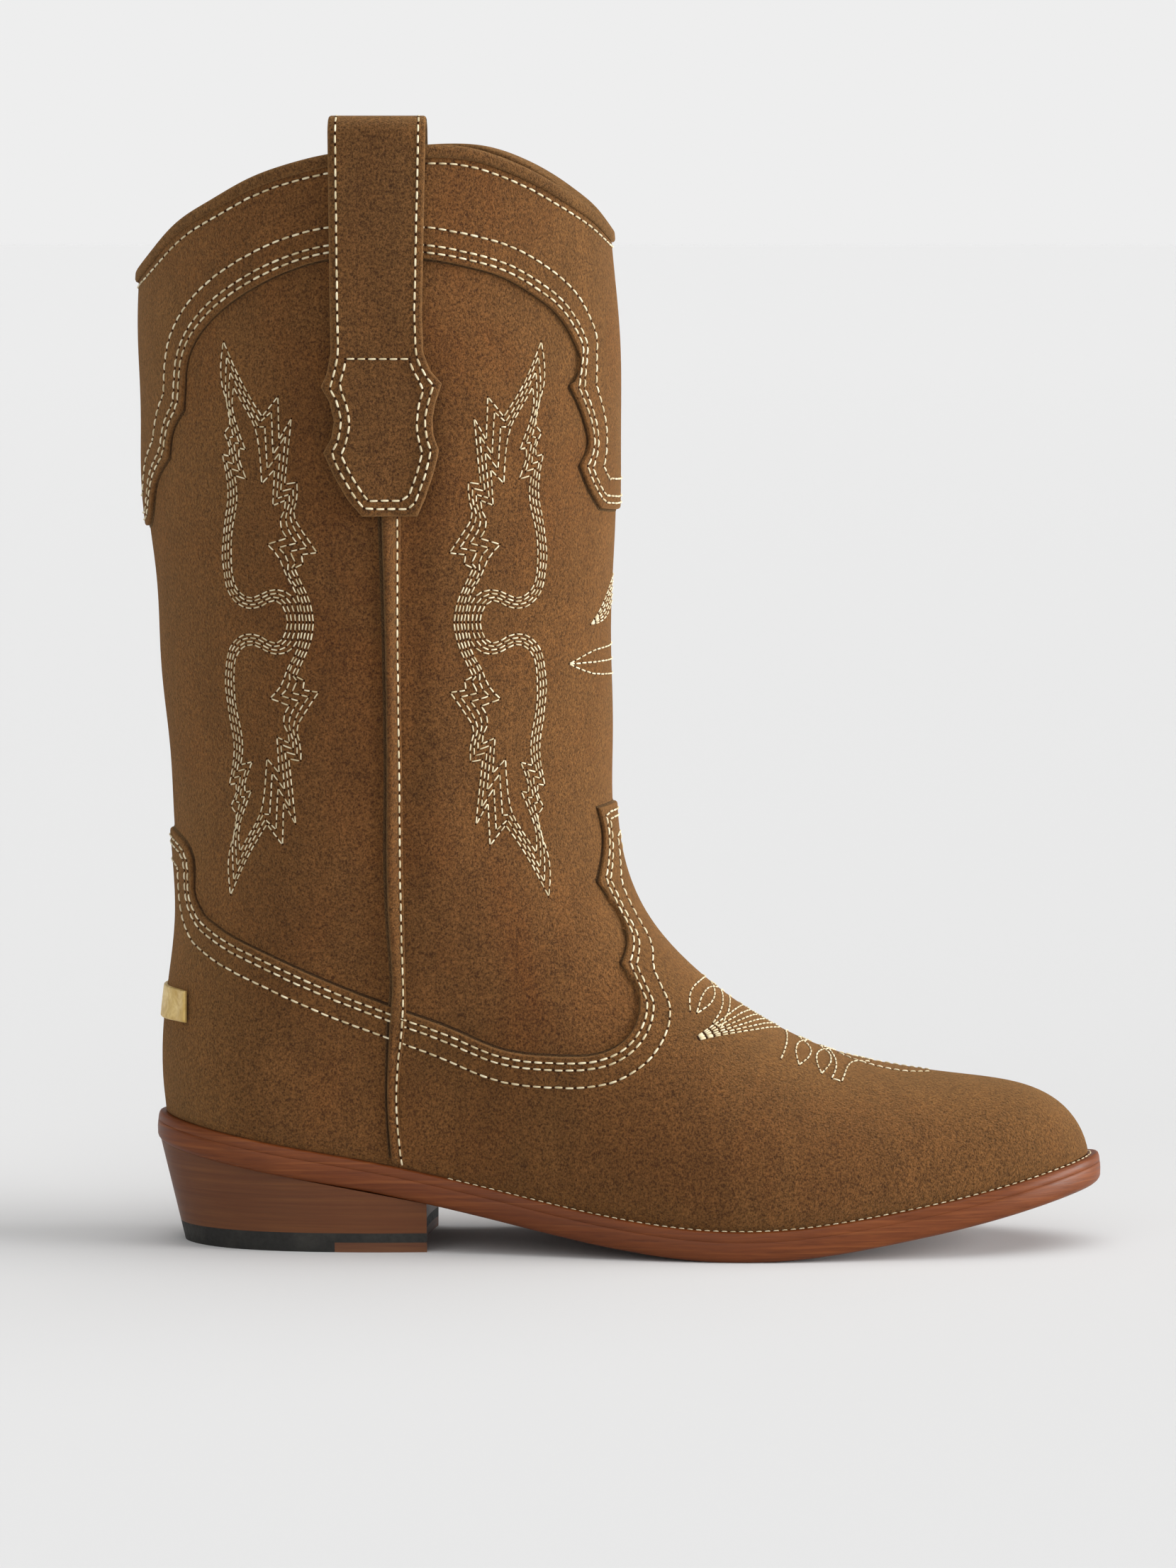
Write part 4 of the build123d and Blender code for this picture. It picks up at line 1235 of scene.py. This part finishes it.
def edge_stitching(panels):
    """Three rows along the scalloped edges, and one row under the binding."""
    edges = {"collar_front": 0, "collar_back": 0, "vamp": -1, "counter_cover": -1}
    for node, column in edges.items():
        made = panels[node]
        grid = made["grid"]
        step = 1 if column == 0 else -1
        edge, inside, out = grid[:, column], grid[:, column + 3 * step], made["out"][:, column]
        if node == "counter_cover":
            edge, inside, out = run_on(edge, 8), run_on(inside, 8), run_on(out, 0)
        rows = [row_on(made, inset(made, edge, inside, out, gap), STITCH[0]) for gap in EDGE_ROWS]
        stitching(f"{node}_edge", rows)
    for node in ("collar_front", "collar_back"):
        made = panels[node]
        grid = made["grid"]
        line = inset(made, grid[:, -1], grid[:, -4], made["out"][:, -1], RIM_ROW)
        stitching(f"{node}_rim", [row_on(made, line, STITCH[0])])


def piping_stitching(made, side_name):
    """One row along the front edge of the side piping."""
    line = made["grid"][-5]
    line = line[line[:, 2] < STRAP_BACK[0][0]]
    stitching(f"side_piping_{side_name}_row", [row_on(made, line, STITCH[0])])


def strap_stitching(made, side_name):
    """Rows along both edges of the strap, doubled round the shield, and one row across it."""
    grid, out = made["grid"][3:-3, 3:-3], made["out"][3:-3, 3:-3]
    edge, normals = (np.vstack([field[0, ::-1], field[1:-1, 0], field[-1]]) for field in (grid, out))
    inside = np.vstack([grid[4, ::-1], grid[1:-1, 6], grid[-5]])
    first, second = (inset(made, edge, inside, normals, gap) for gap in STRAP_ROWS)
    outside = np.abs(second[:, 1] - centre(second[:, 0])) > STRAP_INSIDE_HALF
    shield = second[outside & (second[:, 2] < SHIELD_TOP)]
    across = np.linspace(shield[0] + [0, 0, 0.8], shield[-1] + [0, 0, 0.8], 30)
    rows = [row_on(made, line, STITCH[0]) for line in (first, shield, across)]
    stitching(f"pull_strap_{side_name}_row", rows)


def around(distance_round, z, side):
    """Points of the boot's face at distances round from the side seam, ahead or behind."""
    goal = np.asarray(distance_round, float)
    end = np.where(goal > 0, *LEG_ENDS)
    share = np.linspace(0, 1, 90)[:, None]
    x = SEAM_X + (end - SEAM_X) * share
    heights = np.tile(z, (90, 1))
    y = half_width(x, heights, side)
    steps = np.hypot(np.diff(x, axis=0), np.diff(y, axis=0))
    run = np.vstack([np.zeros(len(goal)), np.cumsum(steps, 0)])
    found = np.array([np.interp(abs(g), run[:, i], x[:, i]) for i, g in enumerate(goal)])
    return spread(np.c_[found, z], side)


def flame_lines():
    """The rows of one flame, upper and lower half, as flat lines."""
    lines = []
    for strand, count in zip((FLAME_OUTER, FLAME_INNER), FLAME_ROWS):
        for line in strand_lines(strand, count):
            lines += [line, line * [1, -1]]
    return lines


def flames(panels):
    """Flame embroidery on the four quarters of the shaft."""
    quarters = {"shaft_front": (FLAME_FRONT, 1), "shaft_back": (FLAME_BACK, -1)}
    for node, (start, way) in quarters.items():
        made = panels[node]
        for side_name, side in SIDES.items():
            rows = []
            for line in flame_lines():
                for run in corner_runs(line):
                    flat = arc_points(run, np.linspace(0, 1, 40))
                    placed = around(start + way * flat[:, 0], FLAME_Z + flat[:, 1], side)
                    rows.append(row_on(made, placed, FINE_STITCH[0]))
            stitching(f"{node}_{side_name}_flame", rows, FINE_STITCH)


def on_front(start, flat, side):
    """Points from (distance along the front line, distance across), and the ways out there.

    The distance runs upwards from a start on the shaft, and to the toe from one on the instep.
    """
    i = int(np.argmin(((front - start) ** 2).sum(1)))
    upwards = 1 if start == BADGE_START else -1
    line, before = front[i::upwards], front[i::-upwards]
    run = np.r_[-np.cumsum(lengths(before))[::-1], 0, np.cumsum(lengths(line))]
    whole = np.vstack([before[::-1], line[1:]])
    spot = np.stack([np.interp(flat[:, 0], run, whole[:, k]) for k in (0, 1)], 1)
    near = np.stack([np.interp(flat[:, 0] + 1, run, whole[:, k]) for k in (0, 1)], 1)
    way = unit(near - spot)
    out = np.c_[way[:, 1], -way[:, 0]]
    out *= np.sign(out[:, :1])
    origin = np.c_[spot[:, 0], centre(spot[:, 0]) + side * flat[:, 1], spot[:, 1]]
    return origin, np.c_[out[:, 0], np.zeros(len(out)), out[:, 1]]


def cast(made, origin, out):
    """Spots on a panel met by rays from outside, square to the front line."""
    hits = []
    for point, way in zip(origin, out):
        spot = made["tree"].ray_cast(Vector(point + 12 * way), Vector(-way), 60)[0]
        if spot is not None:
            hits.append(spot)
    return np.array(hits)


def front_rows(made, start, lines, pitch):
    """Stitch rows on both sides of the front line."""
    rows = []
    for side in (-1, 1):
        for line in lines:
            for run in corner_runs(np.array(line, float), 0.3):
                origin, out = on_front(start, arc_points(run, np.linspace(0, 1, 40)), side)
                hits = cast(made, origin, out)
                if len(hits) > 4:
                    rows.append(row_on(made, hits, pitch))
    return rows


def strand_lines(pairs, count):
    """Rows spread evenly between the two sides of a strand."""
    first, last = (np.array([pair[k] for pair in pairs], float) for k in (0, 1))
    return [first + (last - first) * row / (count - 1) for row in range(count)]


def front_embroidery(panels):
    """Leaves and loops on the instep, and a small badge on the front of the shaft."""
    instep = INSTEP_LINES + strand_lines(LEAF, LEAF_ROWS)
    rows = front_rows(panels["vamp"], INSTEP_START, instep, FRONT_STITCH[0])
    stitching("instep_leaves", rows, FRONT_STITCH)
    badge = strand_lines(SHAFT_BADGE, BADGE_ROWS) + strand_lines(SHAFT_TUFT, TUFT_ROWS)
    rows = front_rows(panels["shaft_front"], BADGE_START, badge, FRONT_STITCH[0])
    stitching("shaft_front_badge", rows, FRONT_STITCH)


def finish_cad_nodes():
    """Materials for the hard pieces that keep their CAD shape."""
    looks = {"heel": ("heel_lift_1", "heel_lift_2", "heel_lift_3", "heel_lift_4"),
             "insert": ("top_lift_leather",),
             "rubber": ("top_lift_rubber",),
             "steel": ("shank", "heel_nails"),
             "board": ("cork_filler", "insole", "heel_counter", "toe_box", "vamp_interlining")}
    for look, names in looks.items():
        for name in names:
            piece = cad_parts[name]
            piece.data.materials.clear()
            piece.data.materials.append(MATERIALS[look])


# ---------------------------------------------------------------- studio

def camera():
    """Long lens beside the boot, a little above its middle."""
    data = bpy.data.cameras.new("camera")
    data.sensor_fit = "AUTO"
    data.sensor_width = SENSOR
    data.lens = SENSOR * CAMERA_DISTANCE / VIEW_HEIGHT
    data.clip_start, data.clip_end = 0.1, 20
    piece = bpy.data.objects.new("camera", data)
    turn = math.radians(CAMERA_TURN)
    across = np.array([math.cos(turn), math.sin(turn), 0])
    away = np.array([-math.sin(turn), math.cos(turn), 0])
    eye = across * VIEW_CENTRE[0] - away * CAMERA_DISTANCE + [0, 0, CAMERA_HEIGHT]
    target = across * VIEW_CENTRE[0] + [0, 0, VIEW_CENTRE[1]]
    piece.location = Vector(eye / 1000)
    piece.rotation_euler = Vector((target - eye) / 1000).to_track_quat("-Z", "Y").to_euler()
    scene.collection.objects.link(piece)
    scene.camera = piece


def sun(name, turn, height, strength, spread_angle):
    """Soft light from one direction: degrees round from the camera, and up from the floor."""
    data = bpy.data.lights.new(name, "SUN")
    data.energy = strength
    data.angle = math.radians(spread_angle)
    piece = bpy.data.objects.new(name, data)
    a, e = math.radians(turn), math.radians(height)
    origin = Vector((math.sin(a) * math.cos(e), -math.cos(a) * math.cos(e), math.sin(e)))
    piece.rotation_euler = origin.to_track_quat("Z", "Y").to_euler()
    scene.collection.objects.link(piece)


def floor():
    """Pale floor that runs back to the horizon and gets a little lighter there."""
    n = Nodes("studio_floor")
    split = n.add("ShaderNodeSeparateXYZ")
    n.link(n.place, split.inputs["Vector"])
    far = n.spread(split.outputs["Y"], 0.0, FADE_LENGTH)
    color = n.mix(far, FLOOR_NEAR, FLOOR_FAR)
    mesh = bpy.data.meshes.new("floor")
    mesh.from_pydata(FLOOR_CORNERS, [], [(0, 1, 2, 3)])
    mesh.materials.append(n.finish(color, Roughness=0.95, Specular_IOR_Level=0.0))
    piece = bpy.data.objects.new("floor", mesh)
    scene.collection.objects.link(piece)


def sky():
    """Pale surroundings: bright at the horizon, dimmer above."""
    world = bpy.data.worlds.new("studio")
    world.use_nodes = True
    nodes, links = world.node_tree.nodes, world.node_tree.links
    place = nodes.new("ShaderNodeTexCoord")
    split = nodes.new("ShaderNodeSeparateXYZ")
    ramp = nodes.new("ShaderNodeValToRGB")
    links.new(place.outputs["Generated"], split.inputs["Vector"])
    links.new(split.outputs["Z"], ramp.inputs["Fac"])
    horizon, above = ramp.color_ramp.elements
    horizon.position = HORIZON_TOP
    horizon.color = linear(HORIZON)
    above.position = SKY_FROM
    above.color = (SKY, SKY, SKY, 1)
    links.new(ramp.outputs["Color"], nodes["Background"].inputs["Color"])
    scene.world = world


def studio():
    """Floor, surroundings and lights."""
    floor()
    sky()
    for light in LIGHTS:
        sun(*light)
    scene.view_settings.view_transform = "Standard"


def build():
    """All pieces of the boot."""
    panels = uppers()
    linings()
    binding("top_binding_front", PAST_FRONT, front)
    binding("top_binding_back", PAST_BACK, back)
    for side_name in SIDES:
        piping_stitching(piping(side_name), side_name)
        strap_stitching(strap(side_name), side_name)
    heel_tab()
    soles()
    sock_liner()
    welt_stitches()
    edge_stitching(panels)
    flames(panels)
    front_embroidery(panels)
    finish_cad_nodes()


build()
studio()
camera()
